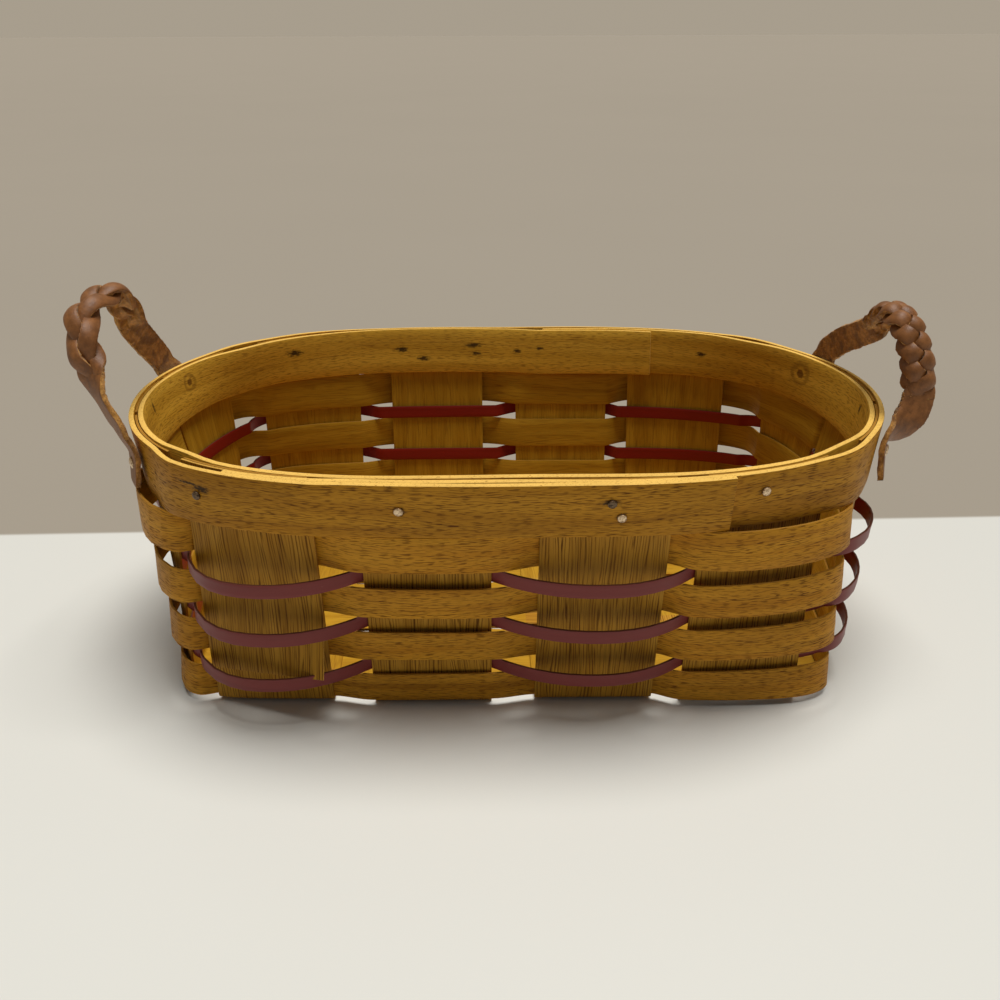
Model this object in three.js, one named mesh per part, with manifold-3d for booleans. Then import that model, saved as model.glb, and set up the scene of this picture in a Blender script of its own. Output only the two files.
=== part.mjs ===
// A woven wood basket: flat wood stakes crossing in the base and turned up as the wall, wide and
// narrow weavers laced round them, a nailed rim of two lapped bands, and two leather ears.
// Millimetres. X runs along the basket, the front faces -Y, Z is up from the table.
import * as THREE from "three";
import { mergeVertices } from "three/addons/utils/BufferGeometryUtils.js";
import Module from "manifold-3d";

// Uprights: strips that run down one wall, across the base and up the other. The gaps lie between
// neighbours, and the margins between the outermost strips and the ends of the base.
const stakeThickness = 1;
const crossStakeWidth = 50.8;
const crossStakeGaps = [17.7, 18.7, 12];
const crossStakeMargins = [13.9, 20.3];
const longStakeWidth = 42;
const longStakeGaps = [4, 4];
const longStakeMargins = [12.5, 16.5];
const stakeBend = 1.2;
const stakeTopDrop = 0.5;
const clearance = 0.3;

// Weavers, counted from the table up. The top one reaches up to the rim bands. Where a weaver passes
// outside an upright it bows out: the narrow ones well clear of it, the wide ones a little, more so
// towards the rim and most round the corners, where they also stand more upright than the wall.
const weaverThickness = 1;
const wideWeaverWidth = 15.3;
const narrowWeaverWidth = 6.4;
const rowGap = 1;
const firstRowHeight = 3.2;
const wideRowCount = 4;
const topRowShowing = 18.1;
const plyBow = 17;
const frontBow = 13;
const backBow = 12;
const endBow = 9.5;
const bowFullness = 2.2;
const cornerKeep = 0.45;
const wideBows = { cross: [0.6, 3.4], long: [0.4, 2], corner: [1.8, 7.5] };
const wideBowFullness = 3;
const cornerStand = 1.2;

// Rim bands, inside and outside the stakes, each lapped over its own start. The laps end this far
// from the middle of the right stake, and the inner one starts this far from that of the next one.
const bandThickness = 2.4;
const bandWidth = 23.6;
const outerLapShift = -16.5;
const innerLapShift = -13.2;
const innerStartShift = -10.4;
const lapStepLength = 20;
const bandSpread = 1.5;

// How much the wall flares from the base to the rim. The base is a rounded rectangle and the rim an
// oval with flat sides and round ends: a power of 2 is an ellipse's, and a high one squares a corner.
// Both outlines are turned a little against the stakes.
const flareLength = 23;
const flareWidth = 21;
const rimPowers = [3.45, 1.96];
const basePower = 11.8;
const outlineTurn = (-1.6 * Math.PI) / 180;

// The extra ply on the left front stake.
const plyThickness = 1;
const plyBottomLeft = 17.5;
const plyBottomRight = 15.5;

// Nails: domed heads on short shanks.
const nailHeadRadius = 1.8;
const nailHeadHeight = 0.8;
const nailShankRadius = 0.6;
const nailShankLength = 1.9;
const rivetHeadRadius = 2.6;
const nailSides = 8;

// Leather ears: a tab on each outer stake of an end, and a braided loop from tab to tab.
const strapWidth = 12.7;
const strapThickness = 2.6;
const braidWidth = 14;
const braidThickness = 7.5;
const tabHang = 1.4;
const tabCorner = 1.5;
const tabShift = -2;
const pivotRise = 3;
const earSteps = 24;

// The braid's first and last place on a loop and the length of its taper, as shares of the loop.
const braidFrom = 0.06;
const braidTo = 0.72;
const braidTaper = 0.12;

const lerp = (from, to, t) => from + (to - from) * t;
const smooth = (t) => t * t * (3 - 2 * t);
const clamp01 = (t) => Math.min(1, Math.max(0, t));
const sum = (values) => values.reduce((total, value) => total + value, 0);

// The base is as long and as wide as the strips that it is laid from, their gaps and the margins.
const baseHalf = (width, gaps, margins) => (width * (gaps.length + 1) + sum(gaps) + sum(margins)) / 2;
const baseHalfLength = baseHalf(crossStakeWidth, crossStakeGaps, crossStakeMargins);
const baseHalfWidth = baseHalf(longStakeWidth, longStakeGaps, longStakeMargins);
const centres = (half, width, gaps, margins) =>
  [0, ...gaps].map((_, i) => -half + margins[0] + width / 2 + i * width + sum(gaps.slice(0, i)));
const crossStakeCentres = centres(baseHalfLength, crossStakeWidth, crossStakeGaps, crossStakeMargins);
const longStakeCentres = centres(baseHalfWidth, longStakeWidth, longStakeGaps, longStakeMargins);
const rimHalfLength = baseHalfLength + flareLength;
const rimHalfWidth = baseHalfWidth + flareWidth;

// The wall is as high as its rows and the rim band above them.
const rowPitch = wideWeaverWidth + narrowWeaverWidth + 2 * rowGap;
const rowBottom = (row) => firstRowHeight + row * rowPitch;
const bandBottom = rowBottom(wideRowCount - 1) + topRowShowing;
const rimHeight = bandBottom + bandWidth;

// Offsets from the wall's middle surface.
const woven = stakeThickness / 2 + clearance + weaverThickness / 2;
const bandOffset = stakeThickness / 2 + clearance + bandThickness / 2;
const plyRaise = plyThickness + clearance;
const lapRaise = bandThickness + clearance;
const bandFace = bandOffset + bandThickness / 2;

const outlines = {
  base: { a: baseHalfLength, b: baseHalfWidth, powers: [basePower, basePower] },
  rim: { a: rimHalfLength, b: rimHalfWidth, powers: rimPowers },
};

// A wall line starts and ends at one x on the front and back, at one y on the ends, and at one share
// of the turn between its neighbours round the corners. This gives its place on one of the outlines.
const turnCos = Math.cos(outlineTurn);
const turnSin = Math.sin(outlineTurn);
const turned = (x, y) => [turnCos * x - turnSin * y, turnSin * x + turnCos * y];
const unturned = (x, y) => [turnCos * x + turnSin * y, turnCos * y - turnSin * x];
const settleSteps = 8;
const halvings = 40;

function onOutline(line, name) {
  const { a, b, powers } = outlines[name];
  const [px, py] = powers;
  let x = 0;
  let y = 0;
  if (line.run === "x") {
    for (let i = 0; i < settleSteps; i++) {
      x = unturned(line.at, y)[0];
      y = turned(x, line.side * b * (1 - (Math.abs(x) / a) ** px) ** (1 / py))[1];
    }
    x = line.at;
  } else if (line.run === "y") {
    for (let i = 0; i < settleSteps; i++) {
      y = unturned(x, line.at)[1];
      x = turned(line.side * a * (1 - (Math.abs(y) / b) ** py) ** (1 / px), y)[0];
    }
    y = line.at;
  } else {
    const p = onOutline(line.before, name).point;
    const q = onOutline(line.after, name).point;
    const start = Math.atan2(p.y, p.x);
    const turn = (Math.atan2(q.y, q.x) - start + 2 * Math.PI) % (2 * Math.PI);
    const angle = start + turn * line.share;
    const [alongX, alongY] = unturned(Math.cos(angle), Math.sin(angle));
    let inside = 0;
    let outside = a + b;
    for (let i = 0; i < halvings; i++) {
      const reach = (inside + outside) / 2;
      const spread = Math.abs((reach * alongX) / a) ** px + Math.abs((reach * alongY) / b) ** py;
      if (spread < 1) inside = reach;
      else outside = reach;
    }
    x = inside * Math.cos(angle);
    y = inside * Math.sin(angle);
  }
  const [ownX, ownY] = unturned(x, y);
  const slope = (at, half, power) => (Math.sign(at) * power * (Math.abs(at) / half) ** (power - 1)) / half;
  const normal = new THREE.Vector3(...turned(slope(ownX, a, px), slope(ownY, b, py)), 0).normalize();
  return { point: new THREE.Vector3(x, y, 0), normal };
}

// Every wall line is straight from the base up to the rim, as a stake is.
function onWall(line, z) {
  const base = onOutline(line, "base");
  const rim = onOutline(line, "rim");
  const h = z / rimHeight;
  const point = base.point.lerp(rim.point, h).setZ(z);
  return { point, normal: base.normal.lerp(rim.normal, h).normalize() };
}

function wallPoint(line, z, outward) {
  const { point, normal } = onWall(line, z);
  return point.addScaledVector(normal, outward);
}

// The uprights in order round the wall, from the front left corner to the right.
const across = [-1, -1 / 3, 1 / 3, 1];
const uprights = [];
const addUpright = (run, centre, width, side, direction) =>
  uprights.push({
    lines: across.map((u) => ({ run, side, at: centre + (direction * u * width) / 2 })),
    kind: run === "x" ? "cross" : "long",
    bow: run === "y" ? endBow : side > 0 ? backBow : uprights.length ? frontBow : plyBow,
  });
crossStakeCentres.forEach((x) => addUpright("x", x, crossStakeWidth, -1, 1));
longStakeCentres.forEach((y) => addUpright("y", y, longStakeWidth, 1, 1));
[...crossStakeCentres].reverse().forEach((x) => addUpright("x", x, crossStakeWidth, 1, -1));
[...longStakeCentres].reverse().forEach((y) => addUpright("y", y, longStakeWidth, -1, -1));

// Lines round the wall: those of each upright, then a few in the gap after it.
const gapShares = { cross: [0.3, 0.7], long: [0.12, 0.88], corner: [0.15, 0.38, 0.62, 0.85] };
const stations = [];
uprights.forEach((upright, k) => {
  const next = uprights[(k + 1) % uprights.length];
  upright.lines.forEach((line) => stations.push({ line, k, share: 0 }));
  const before = upright.lines.at(-1);
  const after = next.lines[0];
  const corner = before.run !== after.run;
  const kind = corner ? "corner" : before.run === "x" ? "cross" : "long";
  gapShares[kind].forEach((share) => {
    const line = corner
      ? { run: "corner", before, after, share }
      : { run: before.run, side: before.side, at: lerp(before.at, after.at, share) };
    stations.push({ line, k, share, kind });
  });
});

// Where each station lies round the wall at a height, and last the whole way round.
function ringPlaces(z) {
  const places = [0];
  stations.forEach((station, i) => {
    const next = stations[(i + 1) % stations.length];
    places.push(places[i] + wallPoint(station.line, z, 0).distanceTo(wallPoint(next.line, z, 0)));
  });
  return places;
}

// A weaver's arch over one upright starts at the upright before and ends at the one after, or keeps
// back a share of a corner. Each station under it gets its place from the start to the end.
function underArch(k, places, kept, use) {
  const around = places.at(-1);
  const own = stations.flatMap((station, i) => (station.k === k && !station.share ? [i] : []));
  const previous = (k + uprights.length - 1) % uprights.length;
  const next = (k + 1) % uprights.length;
  const last = stations.findLastIndex((station) => station.k === previous && !station.share);
  const first = stations.findIndex((station) => station.k === next);
  const from = places[own[0]];
  const to = places[own.at(-1)];
  const before = places[last] - (last > own[0] ? around : 0);
  const after = places[first] + (first < own[0] ? around : 0);
  const turnsInto = uprights[previous].kind !== uprights[k].kind;
  const turnsOut = uprights[next].kind !== uprights[k].kind;
  const start = (turnsInto ? lerp(before, from, kept) : before) + clearance;
  const end = (turnsOut ? lerp(after, to, kept) : after) - clearance;
  stations.forEach((_, i) => {
    [-1, 0, 1].forEach((turns) => {
      const place = places[i] + turns * around;
      if (place > start && place < end) use(i, place, start, (from + to) / 2, end);
    });
  });
  return turnsInto || turnsOut ? "corner" : uprights[k].kind;
}

// Wide weavers start inside the first upright and alternate.
const wideSide = (k) => (k % 2 === 0 ? -1 : 1);

// Round a corner a wide weaver stays outside for most of the way.
function wideCrossing(station) {
  const here = wideSide(station.k);
  if (!station.share) return woven * here;
  const flat = station.kind === "long" ? gapShares.long[0] : 0;
  let from = flat;
  let to = 1 - flat;
  if (station.kind === "corner" && here > 0) from = 0.5;
  if (station.kind === "corner" && here < 0) to = 0.5;
  const t = smooth(clamp01((station.share - from) / (to - from)));
  return woven * lerp(here, -here, t);
}

// The offsets of one edge of a wide weaver: its stand is 1 for the lower edge and -1 for the upper.
function wideOffsets(z, stand) {
  const places = ringPlaces(z);
  const offsets = stations.map(wideCrossing);
  uprights.forEach((_, k) => {
    if (wideSide(k) < 0) return;
    const arch = offsets.map(() => 0);
    const kind = underArch(k, places, 0, (i, place, start, middle, end) => {
      const along = Math.abs((2 * (place - start)) / (end - start) - 1);
      arch[i] = 1 - along ** wideBowFullness;
    });
    const bow = lerp(...wideBows[kind], z / bandBottom) + (kind === "corner" ? stand * cornerStand : 0);
    arch.forEach((share, i) => (offsets[i] += bow * share));
  });
  return offsets;
}

// Narrow weavers go the other way round, and bow out free of the uprights that they pass outside.
function narrowOffsets(z) {
  const offsets = stations.map(() => -woven);
  uprights.forEach((upright, k) => {
    if (wideSide(k) > 0) return;
    underArch(k, ringPlaces(z), cornerKeep, (i, place, start, middle, end) => {
      const t = place < middle ? (place - start) / (middle - start) : (end - place) / (end - middle);
      offsets[i] = lerp(-woven, upright.bow, 1 - (1 - t) ** bowFullness);
    });
  });
  return offsets;
}

// A twisted quad is folded along the diagonal that lies further out, so that strips which follow the
// same wall lines fold alike and keep their clearance.
function quad(points, index, p, q, r, s) {
  const out = (m, n) =>
    Math.hypot((points[m].x + points[n].x) / baseHalfLength, (points[m].y + points[n].y) / baseHalfWidth);
  if (out(p, r) >= out(q, s)) index.push(p, q, r, p, r, s);
  else index.push(p, q, s, q, r, s);
}

// A closed or open bar through sections of four or more points each, in order round the section.
function bar(sections, closed) {
  const size = sections[0].length;
  const points = sections.flat();
  const index = [];
  const quads = closed ? sections.length : sections.length - 1;
  for (let i = 0; i < quads; i++) {
    const j = (i + 1) % sections.length;
    for (let k = 0; k < size; k++) {
      const m = (k + 1) % size;
      quad(points, index, i * size + k, j * size + k, j * size + m, i * size + m);
    }
  }
  if (!closed) {
    const end = (sections.length - 1) * size;
    for (let k = 1; k < size - 1; k++) {
      index.push(0, k, k + 1);
      index.push(end, end + k + 1, end + k);
    }
  }
  return shell(points, index);
}

// A thin plate over a grid of rows, each row a list of points on its inner and outer faces.
function plate(inner, outer) {
  const rows = inner.length;
  const columns = inner[0].length;
  const half = rows * columns;
  const points = [...inner.flat(), ...outer.flat()];
  const index = [];
  const face = (p, q, r, s) => quad(points, index, p, q, r, s);
  const at = (i, j) => i * columns + j;
  for (let i = 0; i < rows - 1; i++) {
    for (let j = 0; j < columns - 1; j++) {
      face(at(i, j), at(i + 1, j), at(i + 1, j + 1), at(i, j + 1));
      face(half + at(i, j), half + at(i, j + 1), half + at(i + 1, j + 1), half + at(i + 1, j));
    }
    face(at(i, 0), half + at(i, 0), half + at(i + 1, 0), at(i + 1, 0));
    const j = columns - 1;
    face(at(i, j), at(i + 1, j), half + at(i + 1, j), half + at(i, j));
  }
  for (let j = 0; j < columns - 1; j++) {
    face(at(0, j), at(0, j + 1), half + at(0, j + 1), half + at(0, j));
    const i = rows - 1;
    face(at(i, j), half + at(i, j), half + at(i, j + 1), at(i, j + 1));
  }
  return shell(points, index);
}

// Faces point outwards whichever way the grid was laid.
function shell(points, index) {
  const position = points.flatMap((p) => [p.x, p.y, p.z]);
  let volume = 0;
  const v = (i) => new THREE.Vector3().fromArray(position, 3 * index[i]);
  for (let i = 0; i < index.length; i += 3) volume += v(i).dot(v(i + 1).cross(v(i + 2)));
  if (volume < 0)
    for (let i = 0; i < index.length; i += 3)
      [index[i + 1], index[i + 2]] = [index[i + 2], index[i + 1]];
  const geometry = new THREE.BufferGeometry();
  geometry.setAttribute("position", new THREE.Float32BufferAttribute(position, 3));
  geometry.setIndex(index);
  return geometry;
}

// One weaver: a strip standing on edge, laced round the wall and joined to itself. It has the offsets
// of its lower and its upper edge.
function weaver(bottom, width, lower, upper) {
  const half = weaverThickness / 2;
  return bar(
    stations.map(({ line }, i) => [
      wallPoint(line, bottom, lower[i] - half),
      wallPoint(line, bottom, lower[i] + half),
      wallPoint(line, bottom + width, upper[i] + half),
      wallPoint(line, bottom + width, upper[i] - half),
    ]),
    true,
  );
}

// One rim band: a strip whose end laps over its start. The route gives each line and its offset.
function band(route) {
  const half = bandThickness / 2;
  return bar(
    route.map(({ line, offset }) => [
      wallPoint(line, bandBottom, offset - half),
      wallPoint(line, bandBottom, offset + half),
      wallPoint(line, rimHeight, offset + half),
      wallPoint(line, rimHeight, offset - half),
    ]),
    false,
  );
}

const frontLine = (at) => ({ run: "x", side: -1, at });
const backLine = (at) => ({ run: "x", side: 1, at });
const isFront = ({ line }) => line.run === "x" && line.side < 0;
const isBack = ({ line }) => line.run === "x" && line.side > 0;

// Where the laps lie along the front and the back, and the least step between two lines of a band.
const outerLapTo = crossStakeCentres.at(-1) + outerLapShift;
const innerLapFrom = crossStakeCentres.at(-1) + innerLapShift;
const innerLapTo = crossStakeCentres.at(-2) + innerStartShift;
const leastStep = 1;

// The bands lie on the stakes, the outer one over the extra ply, and stand apart round the corners.
const spread = ({ share, kind }) => (kind === "corner" ? bandSpread * Math.sin(Math.PI * share) : 0);

function outerBandOffset(station) {
  const { k, share } = station;
  let raised = 0;
  if (k === 0) raised = 1 - smooth(share);
  if (k === uprights.length - 1 && share) raised = smooth(share);
  return bandOffset + plyRaise * raised + spread(station);
}

// The outer band starts on the left front stake under its own lap, goes round once, steps out before
// its start and ends on top.
function outerBandRoute() {
  const front = stations.filter(isFront);
  const rest = stations.slice(front.length);
  const stepOut = rest.slice(-gapShares.corner.length);
  const routed = (station, raise) => ({ line: station.line, offset: outerBandOffset(station) + raise });
  return [
    ...front.slice(1).map((station) => routed(station, 0)),
    ...rest.slice(0, rest.length - stepOut.length).map((station) => routed(station, 0)),
    ...stepOut.map((station) => routed(station, lapRaise * smooth(station.share))),
    ...front
      .filter(({ line }) => line.at < outerLapTo - leastStep)
      .map((station) => routed(station, lapRaise)),
    { line: frontLine(outerLapTo), offset: bandOffset + lapRaise },
  ];
}

// The inner band is lapped the same way at the back, its free end on the inside.
function innerBandRoute() {
  const firstBack = stations.findIndex(isBack);
  const ring = [...stations.slice(firstBack), ...stations.slice(0, firstBack)];
  const back = ring.filter(isBack);
  const rest = ring.slice(back.length);
  const stepEnd = innerLapTo - lapStepLength;
  const inset = (x) => -bandOffset - lapRaise * smooth(clamp01((x - stepEnd) / lapStepLength));
  return [
    { line: backLine(innerLapFrom), offset: -bandOffset - lapRaise },
    ...back
      .filter(({ line: { at } }) => at < innerLapFrom - leastStep && Math.abs(at - innerLapTo) > leastStep)
      .concat([{ line: backLine(innerLapTo) }, { line: backLine(stepEnd) }])
      .sort((p, q) => q.line.at - p.line.at)
      .map(({ line }) => ({ line, offset: inset(line.at) })),
    ...rest.map((station) => ({ line: station.line, offset: -bandOffset - spread(station) })),
    ...back
      .filter(({ line }) => line.at > innerLapTo + leastStep)
      .map(({ line }) => ({ line, offset: -bandOffset })),
    { line: backLine(innerLapTo), offset: -bandOffset },
  ];
}

// Base strips lie in two layers, and each crossing alternates which one is underneath. A strip keeps
// its layer for a share of the gap on each side of a crossing.
const layerKeep = 0.2;
const lowerLayer = stakeThickness / 2;
const upperLayer = lowerLayer + stakeThickness + clearance;
const crossIsUpper = (i, j) => (i + j) % 2 === 0;

// Heights where stakes are divided: the edges of the wide rows, the bands' lower edge and the top.
const stakeTop = rimHeight - stakeTopDrop;
const wallHeights = [];
for (let row = 0; row < wideRowCount; row++) {
  if (row > 0) wallHeights.push(rowBottom(row));
  if (row < wideRowCount - 1) wallHeights.push(rowBottom(row) + wideWeaverWidth);
}
wallHeights.push(bandBottom, stakeTop);

// One stake: down the wall on its near side, over and under the other stakes, and up the far side.
function stake(near, far, crossings) {
  const half = stakeThickness / 2;
  const mitre = half / Math.cos(Math.PI / 8);
  const up = new THREE.Vector3(0, 0, 1);
  const inner = [];
  const outer = [];
  const addRow = (points, directions, reach) => {
    inner.push(points.map((p, i) => p.clone().addScaledVector(directions[i], reach)));
    outer.push(points.map((p, i) => p.clone().addScaledVector(directions[i], -reach)));
  };
  const lean = (normal, steepness) =>
    normal.clone().negate().multiplyScalar(Math.sin(steepness)).addScaledVector(up, Math.cos(steepness));
  const wallRows = (lines, layer) => {
    const rows = [...wallHeights].reverse().map((z) => ({ z, steepness: Math.PI / 2, reach: half }));
    rows.push({ z: layer + stakeBend, steepness: (3 * Math.PI) / 8, reach: mitre });
    return rows.map(({ z, steepness, reach }) => {
      const places = lines.map((line) => onWall(line, z));
      return {
        points: places.map(({ point }) => point),
        directions: places.map(({ normal }) => lean(normal, steepness)),
        reach,
      };
    });
  };
  const bendRow = (lines, layer) => {
    const places = lines.map((line) => onWall(line, layer + stakeBend));
    return {
      points: places.map(({ point, normal }) => {
        const p = point.clone().addScaledVector(normal, -stakeBend);
        p.z = layer;
        return p;
      }),
      directions: places.map(({ normal }) => lean(normal, Math.PI / 8)),
      reach: mitre,
    };
  };
  const rows = [];
  rows.push(...wallRows(near, crossings[0].layer), bendRow(near, crossings[0].layer));
  const run = near[0].run;
  crossings.slice(0, -1).forEach((crossing, i) => {
    const next = crossings[i + 1];
    const kept = layerKeep * (next.from - crossing.to);
    [[crossing.to + kept, crossing.layer], [next.from - kept, next.layer]].forEach(([at, layer]) =>
      rows.push({
        points: near.map((line) =>
          run === "x" ? new THREE.Vector3(line.at, at, layer) : new THREE.Vector3(at, line.at, layer),
        ),
        directions: near.map(() => up),
        reach: half,
      }),
    );
  });
  rows.push(bendRow(far, crossings.at(-1).layer), ...wallRows(far, crossings.at(-1).layer).reverse());
  rows.forEach(({ points, directions, reach }) => addRow(points, directions, reach));
  return plate(inner, outer);
}

const linesAt = (run, side, centre, width) =>
  across.map((u) => ({ run, side, at: centre + (u * width) / 2 }));

function crossStake(i) {
  const x = crossStakeCentres[i];
  return stake(
    linesAt("x", -1, x, crossStakeWidth),
    linesAt("x", 1, x, crossStakeWidth),
    longStakeCentres.map((y, j) => ({
      from: y - longStakeWidth / 2,
      to: y + longStakeWidth / 2,
      layer: crossIsUpper(i, j) ? upperLayer : lowerLayer,
    })),
  );
}

function longStake(j) {
  const y = longStakeCentres[j];
  return stake(
    linesAt("y", -1, y, longStakeWidth),
    linesAt("y", 1, y, longStakeWidth),
    crossStakeCentres.map((x, i) => ({
      from: x - crossStakeWidth / 2,
      to: x + crossStakeWidth / 2,
      layer: crossIsUpper(i, j) ? lowerLayer : upperLayer,
    })),
  );
}

// The spliced ply lies on the outer face of the left front stake, under the outer band.
function stakePly() {
  const lines = linesAt("x", -1, crossStakeCentres[0], crossStakeWidth);
  const near = stakeThickness / 2 + clearance;
  const bottoms = lines.map((_, i) => lerp(plyBottomLeft, plyBottomRight, i / (lines.length - 1)));
  const heights = wallHeights.filter((z) => z > Math.max(...bottoms) + clearance);
  const rows = (offset) => [
    lines.map((line, i) => wallPoint(line, bottoms[i], offset)),
    ...heights.map((z) => lines.map((line) => wallPoint(line, z, offset))),
  ];
  return plate(rows(near), rows(near + plyThickness));
}

// A leather tab stands flat on the outer band and reaches up to the ear's bend.
const frontTabAt = longStakeCentres[0] + tabShift;
const backTabAt = longStakeCentres.at(-1) + tabShift;
const tabFace = bandFace + clearance;
const tabBottom = bandBottom - tabHang;
const pivotHeight = rimHeight + pivotRise;
const pivotOffset = tabFace + strapThickness / 2;
const endTip = strapThickness / 2;

function earTab(side, at) {
  const lines = [-0.5, 0, 0.5].map((u) => ({ run: "y", side, at: at + u * strapWidth }));
  const bottomRow = [tabCorner, 0, tabCorner].map((cut) => tabBottom + cut);
  const topRow = lines.map(() => pivotHeight - endTip - clearance);
  const heights = [bottomRow, bottomRow.map((z) => z + tabCorner), topRow];
  const rows = (offset) => heights.map((row) => lines.map((line, i) => wallPoint(line, row[i], offset)));
  return plate(rows(tabFace), rows(tabFace + strapThickness));
}

const pivot = (side, at) => wallPoint({ run: "y", side, at }, pivotHeight, pivotOffset);

// The ears' middle lines as they stand at rest, from the front pivot to the back one: how far each
// point lies out from the line between the pivots, its share of the way along it, and its height.
const earRoutes = {
  left: [
    [5.5, 0.02, 6],
    [11, 0.036, 17],
    [14.2, 0.06, 28],
    [16.3, 0.1, 36],
    [16.2, 0.175, 42.3],
    [13.3, 0.285, 46.4],
    [9, 0.42, 46.3],
    [7.3, 0.565, 37.5],
    [8.8, 0.69, 25.5],
    [8.8, 0.81, 12],
    [6.5, 0.9, 4.5],
  ],
  right: [
    [7, 0.018, 4.6],
    [12.3, 0.03, 10.5],
    [13.5, 0.05, 18],
    [12, 0.09, 27.5],
    [8.7, 0.15, 34.5],
    [6.7, 0.255, 38],
    [6.2, 0.38, 36],
    [8.3, 0.505, 27],
    [8.6, 0.63, 16.5],
    [4.5, 0.8, 8.5],
    [2.5, 0.9, 3.5],
  ],
};

// How far the strap is braided: flat at the front pivot, braided over the top, flat again behind.
const braided = (t) =>
  smooth(clamp01((t - braidFrom) / braidTaper)) * smooth(clamp01((braidTo - t) / braidTaper));

// Where the half round at a loop's end is divided, from its tip to its middle.
const roundShares = [0.97, 0.8, 0.45, 0];

function earLoop(name, side) {
  const front = pivot(side, frontTabAt);
  const back = pivot(side, backTabAt);
  const span = back.clone().sub(front);
  const hinge = span.clone().normalize();
  const upwards = new THREE.Vector3(0, 0, 1);
  const outward = new THREE.Vector3(side * hinge.y, -side * hinge.x, 0);
  const onRoute = ([out, share, rise]) =>
    front.clone().addScaledVector(span, share).addScaledVector(outward, out).addScaledVector(upwards, rise);
  const route = [front, ...earRoutes[name].map(onRoute), back];
  const curve = new THREE.CatmullRomCurve3(route, false, "centripetal");
  const section = (middle, tangent, wide, width, thickness) => {
    const normal = new THREE.Vector3().crossVectors(tangent, wide).normalize();
    const point = (u, v) =>
      middle.clone().addScaledVector(wide, (u * width) / 2).addScaledVector(normal, (v * thickness) / 2);
    const edge = 1 - thickness / width / 2;
    return [
      point(-1, -0.5), point(-edge, -1), point(edge, -1), point(1, -0.5),
      point(1, 0.5), point(edge, 1), point(-edge, 1), point(-1, 0.5),
    ];
  };
  // Each end is a half round on the line between the two pivots, so that it turns in place.
  const halfRound = (middle, tangent, wide, shares) =>
    shares.map((d) => {
      const depth = middle.clone().addScaledVector(upwards, -d * endTip);
      return section(depth, tangent, wide, strapWidth, strapThickness * Math.sqrt(1 - d * d));
    });
  const frontWide = hinge.clone().multiplyScalar(-side);
  const backWide = hinge.clone().multiplyScalar(side);
  const sections = halfRound(front, upwards, frontWide, roundShares);
  for (let i = 1; i < earSteps; i++) {
    const t = i / earSteps;
    const tangent = curve.getTangentAt(t);
    const facing = outward.clone().lerp(upwards, Math.sin(Math.PI * t) ** 2);
    facing.addScaledVector(tangent, -facing.dot(tangent));
    const square = new THREE.Vector3().crossVectors(facing, tangent).normalize();
    const wide = (t < 0.5 ? frontWide : backWide).clone();
    wide.lerp(square, smooth(clamp01(Math.min(t, 1 - t) / braidTaper))).normalize();
    const skew = wide.clone().cross(tangent).length();
    const width = lerp(strapWidth, braidWidth, braided(t)) / skew;
    const thickness = lerp(strapThickness, braidThickness, braided(t));
    sections.push(section(curve.getPointAt(t), tangent, wide, width, thickness));
  }
  const downwards = upwards.clone().negate();
  sections.push(...halfRound(back, downwards, backWide, [...roundShares].reverse()));
  return bar(sections, false);
}

// Nails: the head rests on a face, and the shank goes into a hole through what it holds.
function nail(headRadius) {
  const onDome = (turn) => [headRadius * Math.cos(turn), nailHeadHeight * Math.sin(turn)];
  const dome = [0, Math.PI / 4, Math.PI / 2].map(onDome);
  const shank = [[0, -nailShankLength], [nailShankRadius, -nailShankLength], [nailShankRadius, 0]];
  const profile = [...shank, ...dome].map(([r, h]) => new THREE.Vector2(r, h));
  return new THREE.LatheGeometry(profile, nailSides).rotateX(Math.PI / 2);
}

// Rim nails, on the front and the back: each lies so far along from a cross stake's middle and so far
// below the rim.
const rimNails = [
  { side: -1, stake: 0, along: -15.4, below: 11 },
  { side: -1, stake: 1, along: -8.9, below: 11.5 },
  { side: -1, stake: 2, along: 0.6, below: 8.5 },
  { side: -1, stake: 2, along: 4.6, below: 15 },
  { side: -1, stake: 3, along: -3.2, below: 8.5 },
  { side: 1, stake: 0, along: 0, below: 10 },
  { side: 1, stake: 1, along: -10.9, below: 10 },
  { side: 1, stake: 1, along: 11.1, below: 13 },
  { side: 1, stake: 2, along: 0, below: 11 },
  { side: 1, stake: 3, along: -13.2, below: 9 },
  { side: 1, stake: 3, along: 10.8, below: 12 },
];

// A nail's seat: the face's point and outward direction there, tilted as the wall leans.
function seat(line, z, offset) {
  const { normal } = onWall(line, z);
  const point = wallPoint(line, z, offset);
  const level = new THREE.Vector3(-normal.y, normal.x, 0);
  const rise = wallPoint(line, rimHeight, offset).sub(point);
  return { point, normal: level.cross(rise).normalize() };
}

// The base of a boolean: a solid of manifold-3d from a closed mesh, and back.
const wasm = await Module();
wasm.setup();

function solid(geometry) {
  const bare = geometry.clone();
  bare.deleteAttribute("normal");
  bare.deleteAttribute("uv");
  const merged = mergeVertices(bare, 1e-4);
  return new wasm.Manifold(
    new wasm.Mesh({
      numProp: 3,
      vertProperties: merged.attributes.position.array,
      triVerts: new Uint32Array(merged.index.array),
    }),
  );
}

function geometryOf(made) {
  const { vertProperties, triVerts } = made.getMesh();
  const geometry = new THREE.BufferGeometry();
  geometry.setAttribute("position", new THREE.BufferAttribute(new Float32Array(vertProperties), 3));
  geometry.setIndex(new THREE.BufferAttribute(new Uint32Array(triVerts), 1));
  return geometry;
}

const toFace = ({ point, normal }) =>
  new THREE.Matrix4().compose(
    point,
    new THREE.Quaternion().setFromUnitVectors(new THREE.Vector3(0, 0, 1), normal),
    new THREE.Vector3(1, 1, 1),
  );

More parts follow.
